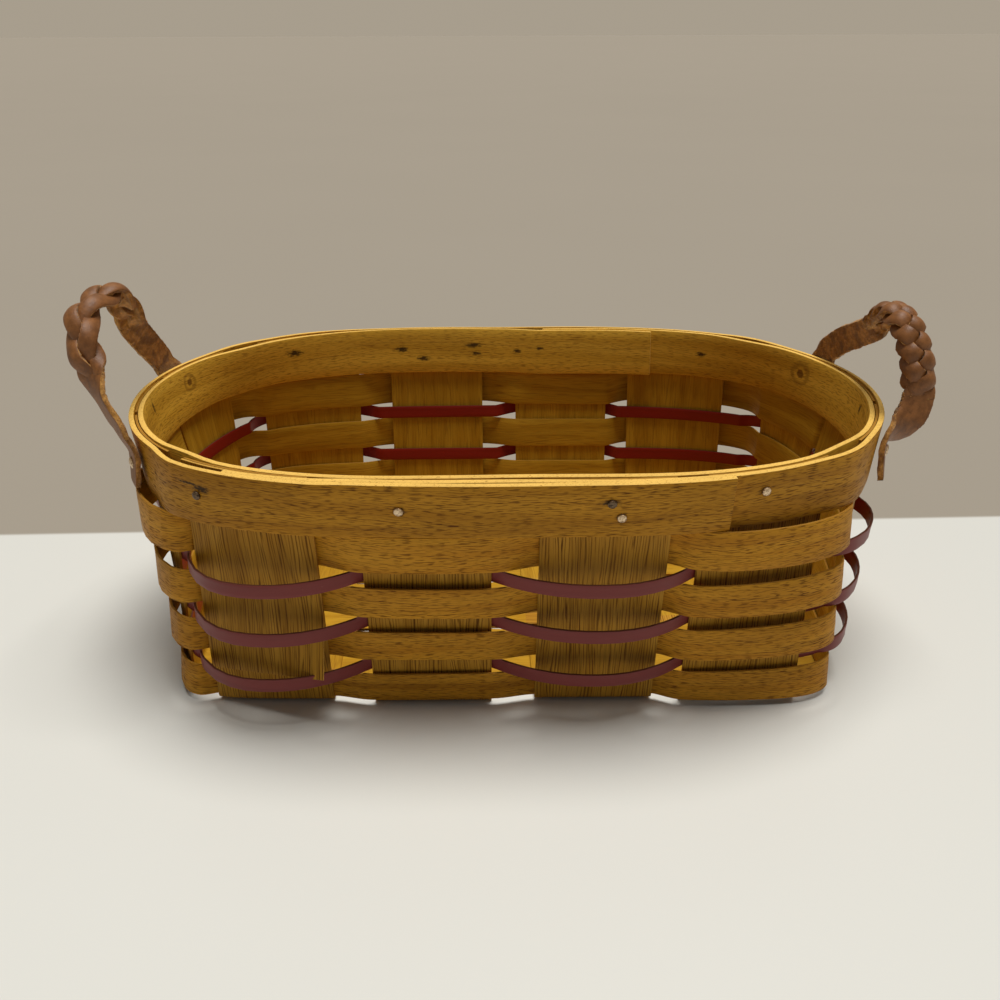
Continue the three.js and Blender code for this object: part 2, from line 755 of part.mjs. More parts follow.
// Each hole is a clearance wider than its nail's shank, and as deep as the shank is long.
function drilled(geometry, seats) {
  let made = solid(geometry);
  const radius = nailShankRadius + clearance;
  seats.forEach((place) => {
    const drill = new THREE.CylinderGeometry(radius, radius, 2 * nailShankLength, nailSides);
    drill.rotateX(Math.PI / 2).applyMatrix4(toFace(place));
    made = made.subtract(solid(drill));
  });
  return geometryOf(made);
}

const wood = { color: 0xc8923c, roughness: 0.55, metalness: 0 };
const paleWood = { color: 0xd6a653, roughness: 0.6, metalness: 0 };
const redWood = { color: 0x7d3040, roughness: 0.4, metalness: 0 };
const leather = { color: 0x6b4228, roughness: 0.75, metalness: 0 };
const brass = { color: 0xb39a6b, roughness: 0.35, metalness: 1 };

const basket = new THREE.Group();
function add(name, geometry, finish) {
  const mesh = new THREE.Mesh(geometry, new THREE.MeshStandardMaterial(finish));
  mesh.name = name;
  basket.add(mesh);
  return mesh;
}

crossStakeCentres.forEach((x, i) => add(`cross_stake_${i + 1}`, crossStake(i), paleWood));
longStakeCentres.forEach((y, j) => add(`long_stake_${j + 1}`, longStake(j), paleWood));
add("stake_ply", stakePly(), paleWood);

for (let row = 0; row < wideRowCount; row++) {
  const top = row === wideRowCount - 1;
  const width = top ? topRowShowing - clearance : wideWeaverWidth;
  const bottom = rowBottom(row);
  const lower = wideOffsets(bottom, 1);
  const upper = wideOffsets(bottom + width, -1);
  add(`wide_weaver_${row + 1}`, weaver(bottom, width, lower, upper), wood);
  if (top) continue;
  const narrowBottom = bottom + wideWeaverWidth + rowGap;
  const offsets = narrowOffsets(narrowBottom);
  add(`red_weaver_${row + 1}`, weaver(narrowBottom, narrowWeaverWidth, offsets, offsets), redWood);
}

const rimSeats = rimNails.map(({ side, stake, along, below }) => {
  const at = crossStakeCentres[stake] + along;
  const lapped = side < 0 && at < outerLapTo ? lapRaise : 0;
  const onPly = side < 0 && stake === 0 ? plyRaise : 0;
  return seat({ run: "x", side, at }, rimHeight - below, bandFace + lapped + onPly);
});
add("outer_rim_band", drilled(band(outerBandRoute()), rimSeats), wood);
add("inner_rim_band", band(innerBandRoute()), wood);
rimSeats.forEach((place, i) => {
  const head = add(`rim_nail_${i + 1}`, nail(nailHeadRadius), brass);
  head.applyMatrix4(toFace(place).multiply(new THREE.Matrix4().makeTranslation(0, 0, clearance)));
});

[["left", -1], ["right", 1]].forEach(([name, side]) => {
  [["front", frontTabAt], ["back", backTabAt]].forEach(([end, at]) => {
    const place = seat({ run: "y", side, at }, (bandBottom + rimHeight) / 2, tabFace + strapThickness);
    add(`${name}_ear_${end}_tab`, drilled(earTab(side, at), [place]), leather);
    const rivet = add(`${name}_ear_${end}_nail`, nail(rivetHeadRadius), brass);
    rivet.applyMatrix4(toFace(place).multiply(new THREE.Matrix4().makeTranslation(0, 0, clearance)));
  });
  add(`${name}_ear_loop`, earLoop(name, side), leather);
});

// The origin lies on the table under the middle of the whole basket.
const middle = new THREE.Box3().setFromObject(basket, true).getCenter(new THREE.Vector3());
basket.position.set(-middle.x, -middle.y, 0);

export default basket;
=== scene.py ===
# A basket woven from flat wood strips, with red accent strips, nailed rim bands and leather ears.
# Sizes are in millimetres, as in the part, and MM turns them into metres where a piece is placed.
import math
import random

import bpy
from mathutils import Matrix, Vector, noise


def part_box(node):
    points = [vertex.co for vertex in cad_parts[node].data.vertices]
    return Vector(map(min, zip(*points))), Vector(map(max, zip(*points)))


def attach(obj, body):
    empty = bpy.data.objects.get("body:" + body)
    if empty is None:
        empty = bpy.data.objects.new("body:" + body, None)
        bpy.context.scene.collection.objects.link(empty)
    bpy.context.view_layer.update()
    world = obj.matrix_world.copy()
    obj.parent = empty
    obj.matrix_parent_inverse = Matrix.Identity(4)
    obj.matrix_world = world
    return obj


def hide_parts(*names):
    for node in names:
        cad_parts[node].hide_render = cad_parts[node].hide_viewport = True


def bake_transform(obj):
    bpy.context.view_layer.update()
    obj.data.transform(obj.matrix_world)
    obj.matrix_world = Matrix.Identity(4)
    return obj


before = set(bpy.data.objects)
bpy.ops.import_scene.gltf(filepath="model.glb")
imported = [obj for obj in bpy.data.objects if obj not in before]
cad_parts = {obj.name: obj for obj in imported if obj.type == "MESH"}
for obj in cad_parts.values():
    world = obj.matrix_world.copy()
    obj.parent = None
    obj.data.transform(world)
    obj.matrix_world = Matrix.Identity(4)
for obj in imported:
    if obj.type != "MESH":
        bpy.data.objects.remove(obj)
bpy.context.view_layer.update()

MM = 0.001
UP = Vector((0, 0, 1))

# The uprights: widths, the gaps between neighbours and the margins at the ends of the base.
STAKE_THICKNESS = 1.0
CROSS_WIDTH = 50.8
CROSS_GAPS = (17.7, 18.7, 12.0)
CROSS_MARGINS = (13.9, 20.3)
LONG_WIDTH = 42.0
LONG_GAPS = (4.0, 4.0)
LONG_MARGINS = (12.5, 16.5)
STAKE_TOP_DROP = 0.5
CLEARANCE = 0.3

# The weavers, counted from the table up.
WEAVER_THICKNESS = 1.0
WIDE_WIDTH = 15.3
NARROW_WIDTH = 6.4
ROW_GAP = 1.0
FIRST_ROW = 3.2
ROWS = 4
TOP_ROW_SHOWING = 18.1
PLY_BOW = 17.0
FRONT_BOW = 13.0
BACK_BOW = 12.0
END_BOW = 9.5
BOW_FULLNESS = 2.2
CORNER_KEEP = 0.45
BACK_HOLD = 0.4
WIDE_BOWS = {"cross": (0.6, 3.4), "long": (0.4, 2.0), "corner": (1.8, 7.5)}
WIDE_BOW_FULLNESS = 3
CORNER_STAND = 1.2

# The rim bands and where their laps begin and end, from the middles of the right cross stakes.
BAND_THICKNESS = 2.4
BAND_WIDTH = 23.6
OUTER_LAP_SHIFT = -16.5
INNER_LAP_SHIFT = -13.2
INNER_START_SHIFT = -10.4
LAP_STEP = 20.0
BAND_SPREAD = 1.5

# The flare from the base to the rim. A power of 2 makes an ellipse, and a high one squares its corners.
FLARE_LENGTH = 23.0
FLARE_WIDTH = 21.0
RIM_POWERS = (3.45, 1.96)
BASE_POWERS = (11.8, 11.8)
OUTLINE_TURN = math.radians(-1.6)

# The spliced ply on the left front stake.
PLY_BOTTOM_LEFT = 19.0
PLY_BOTTOM_RIGHT = 24.5
PLY_CURL_TOP = 56.0
PLY_LIFT = 13.5
PLY_STEPS = 32
PLY_CURL_POWER = 1.8
PLY_ASIDE_POWER = 1.2

# The leather ears.
STRAP_WIDTH = 12.7
STRAP_THICKNESS = 2.6
TAB_SHIFT = -2.0
PIVOT_RISE = 3.0

WOVEN = STAKE_THICKNESS / 2 + CLEARANCE + WEAVER_THICKNESS / 2
BAND_OFFSET = STAKE_THICKNESS / 2 + CLEARANCE + BAND_THICKNESS / 2
PLY_RAISE = STAKE_THICKNESS + CLEARANCE
LAP_RAISE = BAND_THICKNESS + CLEARANCE
BAND_FACE = BAND_OFFSET + BAND_THICKNESS / 2
STRAP_OFFSET = BAND_FACE + CLEARANCE + STRAP_THICKNESS / 2

ROW_PITCH = WIDE_WIDTH + NARROW_WIDTH + 2 * ROW_GAP
BAND_BOTTOM = FIRST_ROW + (ROWS - 1) * ROW_PITCH + TOP_ROW_SHOWING
RIM_HEIGHT = BAND_BOTTOM + BAND_WIDTH
STAKE_TOP = RIM_HEIGHT - STAKE_TOP_DROP
PIVOT_HEIGHT = RIM_HEIGHT + PIVOT_RISE


def lerp(a, b, t):
    return a + (b - a) * t


def clamp(t):
    return min(1.0, max(0.0, t))


def smooth(t):
    t = clamp(t)
    return t * t * (3 - 2 * t)


def shares(count, first=0.0, last=1.0):
    """count + 1 numbers at even steps from first to last."""
    return [lerp(first, last, i / count) for i in range(count + 1)]


def half_size(width, gaps, margins):
    return (width * (len(gaps) + 1) + sum(gaps) + sum(margins)) / 2


def centres(half, width, gaps, margins):
    return [-half + margins[0] + width / 2 + i * width + sum(gaps[:i]) for i in range(len(gaps) + 1)]


BASE_HALF_LENGTH = half_size(CROSS_WIDTH, CROSS_GAPS, CROSS_MARGINS)
BASE_HALF_WIDTH = half_size(LONG_WIDTH, LONG_GAPS, LONG_MARGINS)
CROSS_CENTRES = centres(BASE_HALF_LENGTH, CROSS_WIDTH, CROSS_GAPS, CROSS_MARGINS)
LONG_CENTRES = centres(BASE_HALF_WIDTH, LONG_WIDTH, LONG_GAPS, LONG_MARGINS)


# The wall. Its middle surface is straight from the base's outline up to the rim's.
def turned(x, y, turn=OUTLINE_TURN):
    return math.cos(turn) * x - math.sin(turn) * y, math.sin(turn) * x + math.cos(turn) * y


def unturned(x, y):
    return turned(x, y, -OUTLINE_TURN)


SETTLING_STEPS = 8
HALVINGS = 40


class Outline:
    """A level outline of the wall: a rounded rectangle or an oval, turned a little."""

    def __init__(self, half_length, half_width, powers):
        self.a = half_length
        self.b = half_width
        self.px, self.py = powers

    def _placed(self, x, y):
        own_x, own_y = unturned(x, y)
        slope_x = math.copysign(self.px * (abs(own_x) / self.a) ** (self.px - 1), own_x) / self.a
        slope_y = math.copysign(self.py * (abs(own_y) / self.b) ** (self.py - 1), own_y) / self.b
        return Vector((x, y, 0)), Vector((*turned(slope_x, slope_y), 0)).normalized()

    def on_side(self, run, side, at):
        """The point at one x on the front or back, or at one y on an end."""
        x = y = 0.0
        for _ in range(SETTLING_STEPS):
            if run == "x":
                own = unturned(at, y)[0]
                y = turned(own, side * self.b * (1 - (abs(own) / self.a) ** self.px) ** (1 / self.py))[1]
            else:
                own = unturned(x, at)[1]
                x = turned(side * self.a * (1 - (abs(own) / self.b) ** self.py) ** (1 / self.px), own)[0]
        return self._placed(at, y) if run == "x" else self._placed(x, at)

    def round_corner(self, before, after, share):
        """The point at a share of the turn from one point of the outline to another."""
        start = math.atan2(before.y, before.x)
        turn = (math.atan2(after.y, after.x) - start) % (2 * math.pi)
        angle = start + turn * share
        along_x, along_y = unturned(math.cos(angle), math.sin(angle))
        inside, outside = 0.0, self.a + self.b
        for _ in range(HALVINGS):
            reach = (inside + outside) / 2
            if abs(reach * along_x / self.a) ** self.px + abs(reach * along_y / self.b) ** self.py < 1:
                inside = reach
            else:
                outside = reach
        return self._placed(inside * math.cos(angle), inside * math.sin(angle))


BASE = Outline(BASE_HALF_LENGTH, BASE_HALF_WIDTH, BASE_POWERS)
RIM = Outline(BASE_HALF_LENGTH + FLARE_LENGTH, BASE_HALF_WIDTH + FLARE_WIDTH, RIM_POWERS)


class WallLine:
    """A straight line up the wall."""

    def __init__(self, base, rim, run="corner", side=0, at=0.0):
        self.base, self.base_normal = base
        self.rim, self.rim_normal = rim
        self.run = run
        self.side = side
        self.at = at

    def normal(self, z):
        return self.base_normal.lerp(self.rim_normal, z / RIM_HEIGHT).normalized()

    def point(self, z, outward=0.0):
        middle = self.base.lerp(self.rim, z / RIM_HEIGHT)
        middle.z = z
        return middle + self.normal(z) * outward


def side_line(run, side, at):
    return WallLine(BASE.on_side(run, side, at), RIM.on_side(run, side, at), run, side, at)


def corner_line(before, after, share):
    return WallLine(
        BASE.round_corner(before.base, after.base, share),
        RIM.round_corner(before.rim, after.rim, share),
    )


class Station:
    """A place round the wall: on an upright, or at a share of the gap after it."""

    def __init__(self, line, upright, across=None, gap=None, kind=None):
        self.line = line
        self.upright = upright
        self.across = across
        self.gap = gap
        self.kind = kind


UPRIGHT_STEPS = 8
GAP_STEPS = {"cross": 7, "long": 5, "corner": 18}
LONG_FLAT = 0.12


def uprights_in_order():
    """Each upright's run, side, centre, width and direction, from the front left corner to the right."""
    order = [("x", -1, at, CROSS_WIDTH, 1) for at in CROSS_CENTRES]
    order += [("y", 1, at, LONG_WIDTH, 1) for at in LONG_CENTRES]
    order += [("x", 1, at, CROSS_WIDTH, -1) for at in reversed(CROSS_CENTRES)]
    order += [("y", -1, at, LONG_WIDTH, -1) for at in reversed(LONG_CENTRES)]
    return order


UPRIGHTS = uprights_in_order()


def upright_line(upright, across):
    run, side, centre, width, direction = upright
    return side_line(run, side, centre + direction * across * width / 2)


def ring_of_stations():
    ring = []
    for k, upright in enumerate(UPRIGHTS):
        following = UPRIGHTS[(k + 1) % len(UPRIGHTS)]
        for across in shares(UPRIGHT_STEPS, -1, 1):
            ring.append(Station(upright_line(upright, across), k, across=across))
        before = upright_line(upright, 1)
        after = upright_line(following, -1)
        kind = "corner" if before.run != after.run else {"x": "cross", "y": "long"}[before.run]
        for share in shares(GAP_STEPS[kind])[1:-1]:
            if kind == "corner":
                line = corner_line(before, after, share)
            else:
                line = side_line(before.run, before.side, lerp(before.at, after.at, share))
            ring.append(Station(line, k, gap=share, kind=kind))
    return ring


RING = ring_of_stations()


def ring_places(z):
    """How far along the ring each station lies at a height, and last the whole way round."""
    places = [0.0]
    for i, station in enumerate(RING):
        following = RING[(i + 1) % len(RING)]
        places.append(places[-1] + (station.line.point(z) - following.line.point(z)).length)
    return places


ON_UPRIGHT = [
    [i for i, station in enumerate(RING) if station.upright == k and station.gap is None]
    for k in range(len(UPRIGHTS))
]


def arch_over(k, places, kept, held=0.0):
    """A weaver's arch over one upright, from the upright before to the one after, or keeping back a share
    of a corner or of a gap: the stations under it with their places, and the places of its start, middle
    and end."""
    around = places[-1]
    previous = (k - 1) % len(UPRIGHTS)
    following = (k + 1) % len(UPRIGHTS)
    first, last = places[ON_UPRIGHT[k][0]], places[ON_UPRIGHT[k][-1]]
    start = places[ON_UPRIGHT[previous][-1]] - (around if k == 0 else 0)
    end = places[ON_UPRIGHT[following][0]] + (around if following == 0 else 0)
    start = lerp(start, first, kept if turns_between(previous, k) else held)
    end = lerp(end, last, kept if turns_between(k, following) else held)
    start, end = start + CLEARANCE, end - CLEARANCE
    under = []
    for i in range(len(RING)):
        for place in (places[i] - around, places[i], places[i] + around):
            if start < place < end:
                under.append((i, place))
    return under, start, (first + last) / 2, end


def turns_between(k, following):
    return UPRIGHTS[k][0] != UPRIGHTS[following][0]


def arch_kind(k):
    if turns_between((k - 1) % len(UPRIGHTS), k) or turns_between(k, (k + 1) % len(UPRIGHTS)):
        return "corner"
    return {"x": "cross", "y": "long"}[UPRIGHTS[k][0]]


def wide_side(k):
    """Wide weavers start inside the first upright and alternate."""
    return -1 if k % 2 == 0 else 1


def wide_crossing(station):
    """Round a corner a wide weaver stays outside for most of the way."""
    here = wide_side(station.upright)
    if station.gap is None:
        return WOVEN * here
    start = LONG_FLAT if station.kind == "long" else 0
    end = 1 - start
    if station.kind == "corner" and here > 0:
        start = 0.5
    if station.kind == "corner" and here < 0:
        end = 0.5
    return WOVEN * lerp(here, -here, smooth((station.gap - start) / (end - start)))


def wide_offsets(z, stand):
    """The offsets of one edge of a wide weaver: its stand is 1 for the lower edge and -1 for the upper."""
    places = ring_places(z)
    offsets = [wide_crossing(station) for station in RING]
    for k in range(len(UPRIGHTS)):
        if wide_side(k) < 0:
            continue
        under, start, _, end = arch_over(k, places, 0)
        kind = arch_kind(k)
        bow = lerp(*WIDE_BOWS[kind], z / BAND_BOTTOM) + (stand * CORNER_STAND if kind == "corner" else 0)
        for i, place in under:
            offsets[i] += bow * (1 - abs(2 * (place - start) / (end - start) - 1) ** WIDE_BOW_FULLNESS)
    return offsets


def narrow_bow(k):
    run, side = UPRIGHTS[k][:2]
    if run == "y":
        return END_BOW
    if side > 0:
        return BACK_BOW
    return FRONT_BOW if k else PLY_BOW


def narrow_offsets(z):
    """Narrow weavers go the other way round, and bow out free of the uprights that they pass outside."""
    places = ring_places(z)
    offsets = [-WOVEN] * len(RING)
    for k in range(len(UPRIGHTS)):
        if wide_side(k) > 0:
            continue
        held = BACK_HOLD if UPRIGHTS[k][:2] == ("x", 1) else 0
        under, start, middle, end = arch_over(k, places, CORNER_KEEP, held)
        for i, place in under:
            near = place < middle
            t = (place - start) / (middle - start) if near else (end - place) / (end - middle)
            offsets[i] = lerp(-WOVEN, narrow_bow(k), 1 - (1 - t) ** BOW_FULLNESS)
    return offsets


# The basket's middle lies a little off the frame's, because the ears and the laps aren't even.
def frame_shift():
    left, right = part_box("cross_stake_2")
    front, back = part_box("long_stake_2")
    x = (left[0] + right[0]) / 2 / MM - CROSS_CENTRES[1]
    y = (front[1] + back[1]) / 2 / MM - LONG_CENTRES[1]
    return Vector((x, y, 0))


SHIFT = frame_shift()


def placed(point):
    return (point + SHIFT) * MM


# Camera, at the photograph's viewing angle.
CAMERA_PLACE = Vector((-17.61, -439.61, 267.68))
CAMERA_YAW = 0.0331
CAMERA_PITCH = 0.4435
CAMERA_ROLL = -0.0035
CAMERA_LENS = 36.0
CAMERA_SENSOR = 36.0


def add_camera():
    data = bpy.data.cameras.new("camera")
    data.lens = CAMERA_LENS
    data.sensor_width = CAMERA_SENSOR
    camera = bpy.data.objects.new("camera", data)
    bpy.context.scene.collection.objects.link(camera)
    level = Matrix.Rotation(-CAMERA_YAW, 4, "Z") @ Matrix.Rotation(math.pi / 2 - CAMERA_PITCH, 4, "X")
    turned = level @ Matrix.Rotation(CAMERA_ROLL, 4, "Z")
    camera.matrix_world = Matrix.Translation(placed(CAMERA_PLACE)) @ turned
    bpy.context.scene.camera = camera


add_camera()


# Materials. A Wire is a number or a colour on its way through the nodes, with ordinary arithmetic.
class Wire:
    def __init__(self, finish, socket):
        self.finish = finish
        self.socket = socket

    def _math(self, operation, first, second=0.0):
        return self.finish.node("Math", {"operation": operation}, {0: first, 1: second})

    def __add__(self, other):
        return self._math("ADD", self, other)

    def __radd__(self, other):
        return self._math("ADD", other, self)

    def __sub__(self, other):
        return self._math("SUBTRACT", self, other)

    def __rsub__(self, other):
        return self._math("SUBTRACT", other, self)

    def __mul__(self, other):
        return self._math("MULTIPLY", self, other)

    def __truediv__(self, other):
        return self._math("DIVIDE", self, other)

    def __abs__(self):
        return self._math("ABSOLUTE", self)

    def fract(self):
        return self._math("FRACT", self)

    def larger(self, other):
        return self._math("MAXIMUM", self, other)

    def smaller(self, other):
        return self._math("MINIMUM", self, other)


class Nodes:
    def __init__(self, tree):
        self.tree = tree

    def node(self, kind, settings=None, sockets=None, output=0):
        made = self.tree.nodes.new("ShaderNode" + kind)
        for name, value in (settings or {}).items():
            if name == "stops":
                self._set_stops(made.color_ramp, value)
            else:
                setattr(made, name, value)
        for name, value in (sockets or {}).items():
            self.join(made.inputs[name], value)
        return Wire(self, made.outputs[output])

    def blend(self, share, first, second):
        """The first colour where the share is 0 and the second where it is 1."""
        return self.node("Mix", {"data_type": "RGBA"}, {"Factor": share, 6: first, 7: second}, output=2)

    def join(self, socket, value):
        if isinstance(value, Wire):
            self.tree.links.new(value.socket, socket)
        else:
            socket.default_value = value

    @staticmethod
    def _set_stops(ramp, stops):
        while len(ramp.elements) < len(stops):
            ramp.elements.new(0.5)
        for element, (position, colour) in zip(ramp.elements, stops):
            element.position = position
            element.color = colour


class Finish(Nodes):
    """One material. Its constant shader values are set by name."""

    def __init__(self, name, **constants):
        self.material = bpy.data.materials.new(name)
        self.material.use_nodes = True
        super().__init__(self.material.node_tree)
        self.shader = self.tree.nodes["Principled BSDF"]
        for socket, value in constants.items():
            self.shader.inputs[socket.replace("_", " ")].default_value = value

    def uv(self):
        """The piece's UV map: millimetres along it and across it."""
        return self.node("UVMap", {"uv_map": "UVMap"})

    def place(self):
        """The place on the basket, in metres."""
        return self.node("TexCoord", output="Object")

    def scaled(self, vector, x, y, z):
        return self.node("VectorMath", {"operation": "MULTIPLY"}, {0: vector, 1: (x, y, z)})

    def noise(self, vector, along, across, detail=2.0, roughness=0.5):
        """Noise whose features measure along by across, in the vector's units."""
        stretched = self.scaled(vector, 1 / along, 1 / across, 1 / across)
        sockets = {"Vector": stretched, "Scale": 1.0, "Detail": detail, "Roughness": roughness}
        return self.node("TexNoise", {}, sockets)

    def shifted(self, vector, along, across):
        """The vector moved by so many units, which may vary from place to place."""
        move = self.node("CombineXYZ", {}, {"X": along, "Y": across})
        return self.node("VectorMath", {"operation": "ADD"}, {0: vector, 1: move})

    def step(self, value, low, high):
        """0 below low and 1 above high, with a smooth rise between."""
        settings = {"interpolation_type": "SMOOTHSTEP"}
        return self.node("MapRange", settings, {"Value": value, "From Min": low, "From Max": high})

    def tint(self, colour, brightness):
        colour = colour if isinstance(colour, Wire) else colour[:3]
        return self.node("VectorMath", {"operation": "SCALE"}, {0: colour, "Scale": brightness})

    def bump(self, height, distance, strength=1.0):
        normal = self.node("Bump", {}, {"Height": height, "Distance": distance, "Strength": strength})
        self.join(self.shader.inputs["Normal"], normal)

    def paint(self, colour, roughness):
        self.join(self.shader.inputs["Base Color"], colour)
        self.join(self.shader.inputs["Roughness"], roughness)
        return self.material


def rgb(red, green, blue):
    return (red, green, blue, 1.0)


# Dark stains round the nails: the band's side, the place along it, the distance below the rim, half
# the length and half the height.
FRONT_MARKS = (
    ("x", -1, -120.1, 7.8, 4.0, 1.8),
    ("x", -1, -126.0, 6.4, 6.5, 0.6),
    ("x", -1, -44.0, 11.5, 2.6, 2.3),
    ("x", -1, 34.5, 8.0, 4.2, 1.8),
    ("x", -1, 39.0, 15.0, 2.4, 2.3),
    ("x", -1, 94.0, 8.5, 2.4, 2.3),
)
INSIDE_MARKS = (
    ("x", 1, -111.0, 8.3, 4.6, 1.9),
    ("x", 1, -54.0, 10.5, 3.6, 1.8),
    ("x", 1, -42.0, 15.5, 3.8, 1.5),
    ("x", 1, -14.5, 8.6, 5.4, 1.4),
    ("x", 1, -12.5, 13.0, 3.0, 1.2),
    ("x", 1, 10.0, 11.8, 2.4, 1.3),
    ("x", 1, 22.5, 9.8, 1.8, 1.0),
    ("x", 1, 109.5, 11.0, 2.8, 1.3),
    ("y", -1, -3.3, 6.0, 1.3, 3.2),
    ("y", 1, -16.7, 6.6, 1.5, 2.4),
)
# Knots: the band's side, the place along it, the distance below the rim and the radius.
INSIDE_KNOTS = (
    ("y", 1, 42.2, 9.4, 5.6),
    ("y", -1, 36.8, 7.5, 4.2),
)
NAIL_DEPTH = 60.0
MARK_COLOUR = rgb(0.03, 0.015, 0.006)
KNOT_COLOUR = rgb(0.12, 0.042, 0.006)


def wood(name, tone, deep, dark, fleck, amount, marks=(), knots=(), pores=0.0):
    """Straight-grained wood: slow bands and wavy growth lines along the strip. It has short dark flecks,
    each so long and so high, that follow the same waves, or else rows of pores, so far apart."""
    finish = Finish(name, Specular_IOR_Level=0.12)
    uv = finish.uv()
    grain = finish.shifted(uv, 0, (finish.noise(uv, 90, 34, 1) - 0.5) * 10)
    slow = finish.step(finish.noise(grain, 130, 6, 2), 0.32, 0.68)
    patches = finish.noise(uv, 50, 20, 2)
    lines = abs((finish.noise(grain, 260, 10, 1, 0.3) * 9).fract() - 0.5)
    line = 1 - finish.step(lines, 0.0, 0.09)
    if pores:
        across = finish.node("SeparateXYZ", {}, {0: grain}, output="Y")
        row = abs((across / pores + finish.noise(grain, 40, 3, 2) * 3).fract() - 0.5)
        breaks = finish.step(finish.noise(uv, 18, 0.9, 2), 0.34, 0.52)
        flecks = (1 - finish.step(row, 0.08, 0.26)) * breaks
    else:
        flecks = finish.step(finish.noise(grain, *fleck, 1, 0.4), 0.5, 0.64)
    where = finish.step(finish.noise(grain, 40, 3.2, 2), 0.3, 0.62)
    fine = finish.noise(grain, 9, 0.3, 2, 0.6)
    dashes = flecks * (0.55 + where * 0.45) * amount
    body = finish.blend(slow, rgb(*tone), rgb(*deep))
    body = finish.tint(body, 0.72 + patches * 0.36 + fine * 0.2)
    body = finish.blend((dashes + line * 0.3).smaller(1.0), body, rgb(*dark))
    if knots:
        body = finish.blend(rings(finish, knots), body, KNOT_COLOUR)
    if marks:
        body = finish.blend(stains(finish, marks), body, MARK_COLOUR)
    finish.bump(fine * 0.3 - dashes - line * 0.3, 0.00012, 0.5)
    return finish.paint(body, 0.42 + fine * 0.14 + dashes * 0.2)


def reach_from(finish, place, run, side, at, below, length, height):
    """The distance from a spot on a side of the rim: 1 at so far along it and so far up it."""
    middle = placed(side_line(run, side, at).point(RIM_HEIGHT - below))
    away = finish.node("VectorMath", {"operation": "SUBTRACT"}, {0: place, 1: middle})
    spread_x, spread_y = (length, NAIL_DEPTH) if run == "x" else (NAIL_DEPTH, length)
    shaped = finish.scaled(away, 1 / (spread_x * MM), 1 / (spread_y * MM), 1 / (height * MM))
    return finish.node("VectorMath", {"operation": "LENGTH"}, {0: shaped}, output="Value")


def largest(found):
    most = found[0]
    for share in found[1:]:
        most = most.larger(share)
    return most


def stains(finish, marks):
    """Dark, ragged spots at the marks' places, spread along the grain."""
    place = finish.place()
    ragged = finish.noise(place, 0.0022, 0.0008, 2)
    reaches = [reach_from(finish, place, *mark) + (ragged - 0.5) * 1.6 for mark in marks]
    return largest([1 - finish.step(reach, 0.35, 1.15) for reach in reaches]) * 0.92


def rings(finish, knots):
    """Small knots: a dark heart inside a soft, faint ring."""
    place = finish.place()
    ragged = finish.noise(place, 0.004, 0.004, 2)
    found = []
    for run, side, at, below, radius in knots:
        reach = reach_from(finish, place, run, side, at, below, radius, radius) + (ragged - 0.5) * 0.5
        ring = 1 - finish.step(abs(reach - 0.9), 0.05, 0.34)
        heart = 1 - finish.step(reach, 0.3, 0.5)
        found += [ring * 0.4, heart * 0.8]
    return largest(found)


def cut_edge(name, tone, dark):
    """The strips' sawn edges, with open pores along them."""
    finish = Finish(name, Specular_IOR_Level=0.15)
    uv = finish.uv()
    place = finish.place()
    grain = finish.noise(place, 0.0011, 0.0004, 3, 0.7)
    slow = finish.noise(uv, 25, 25, 2)
    pores = finish.step(grain, 0.55, 0.66)
    body = finish.tint(rgb(*tone), 0.8 + slow * 0.4)
    body = finish.blend(pores * 0.75, body, rgb(*dark))
    finish.bump(grain, 0.0003, 0.5)
    return finish.paint(body, 0.6 + grain * 0.15)


def stained_wood(name, tone, worn):
    """Red-stained wood under a satin finish, with the grain just showing and small rubbed spots."""
    finish = Finish(name, Specular_IOR_Level=0.2, Coat_Weight=0.08, Coat_Roughness=0.35)
    uv = finish.uv()
    fine = finish.noise(uv, 20, 0.5, 3, 0.6)
    slow = finish.noise(uv, 60, 4, 2)
    rubbed = finish.step(finish.noise(uv, 2.6, 1.1, 3, 0.7), 0.69, 0.76)
    body = finish.tint(rgb(*tone), 0.72 + slow * 0.35 + fine * 0.22)
    body = finish.blend(rubbed * 0.5, body, rgb(*worn))
    finish.bump(fine, 0.00006, 0.5)
    return finish.paint(body, 0.36 + fine * 0.14)


def smooth_leather(name, tone, deep):
    """The strap's grain side: dull and smooth, with fine pores and soft creases."""
    finish = Finish(name, Specular_IOR_Level=0.4)
    uv = finish.uv()
    pores = finish.node("TexVoronoi", {}, {"Vector": finish.scaled(uv, 2.6, 2.6, 2.6), "Scale": 1.0})
    mottle = finish.noise(uv, 5, 3.2, 3, 0.6)
    crease = finish.noise(uv, 1.4, 5, 3, 0.6)
    body = finish.blend(finish.step(mottle, 0.3, 0.7), rgb(*deep), rgb(*tone))
    body = finish.tint(body, 0.84 + crease * 0.32)
    finish.bump(pores * 0.5 + crease, 0.00022, 0.6)
    return finish.paint(body, 0.4 + mottle * 0.2)


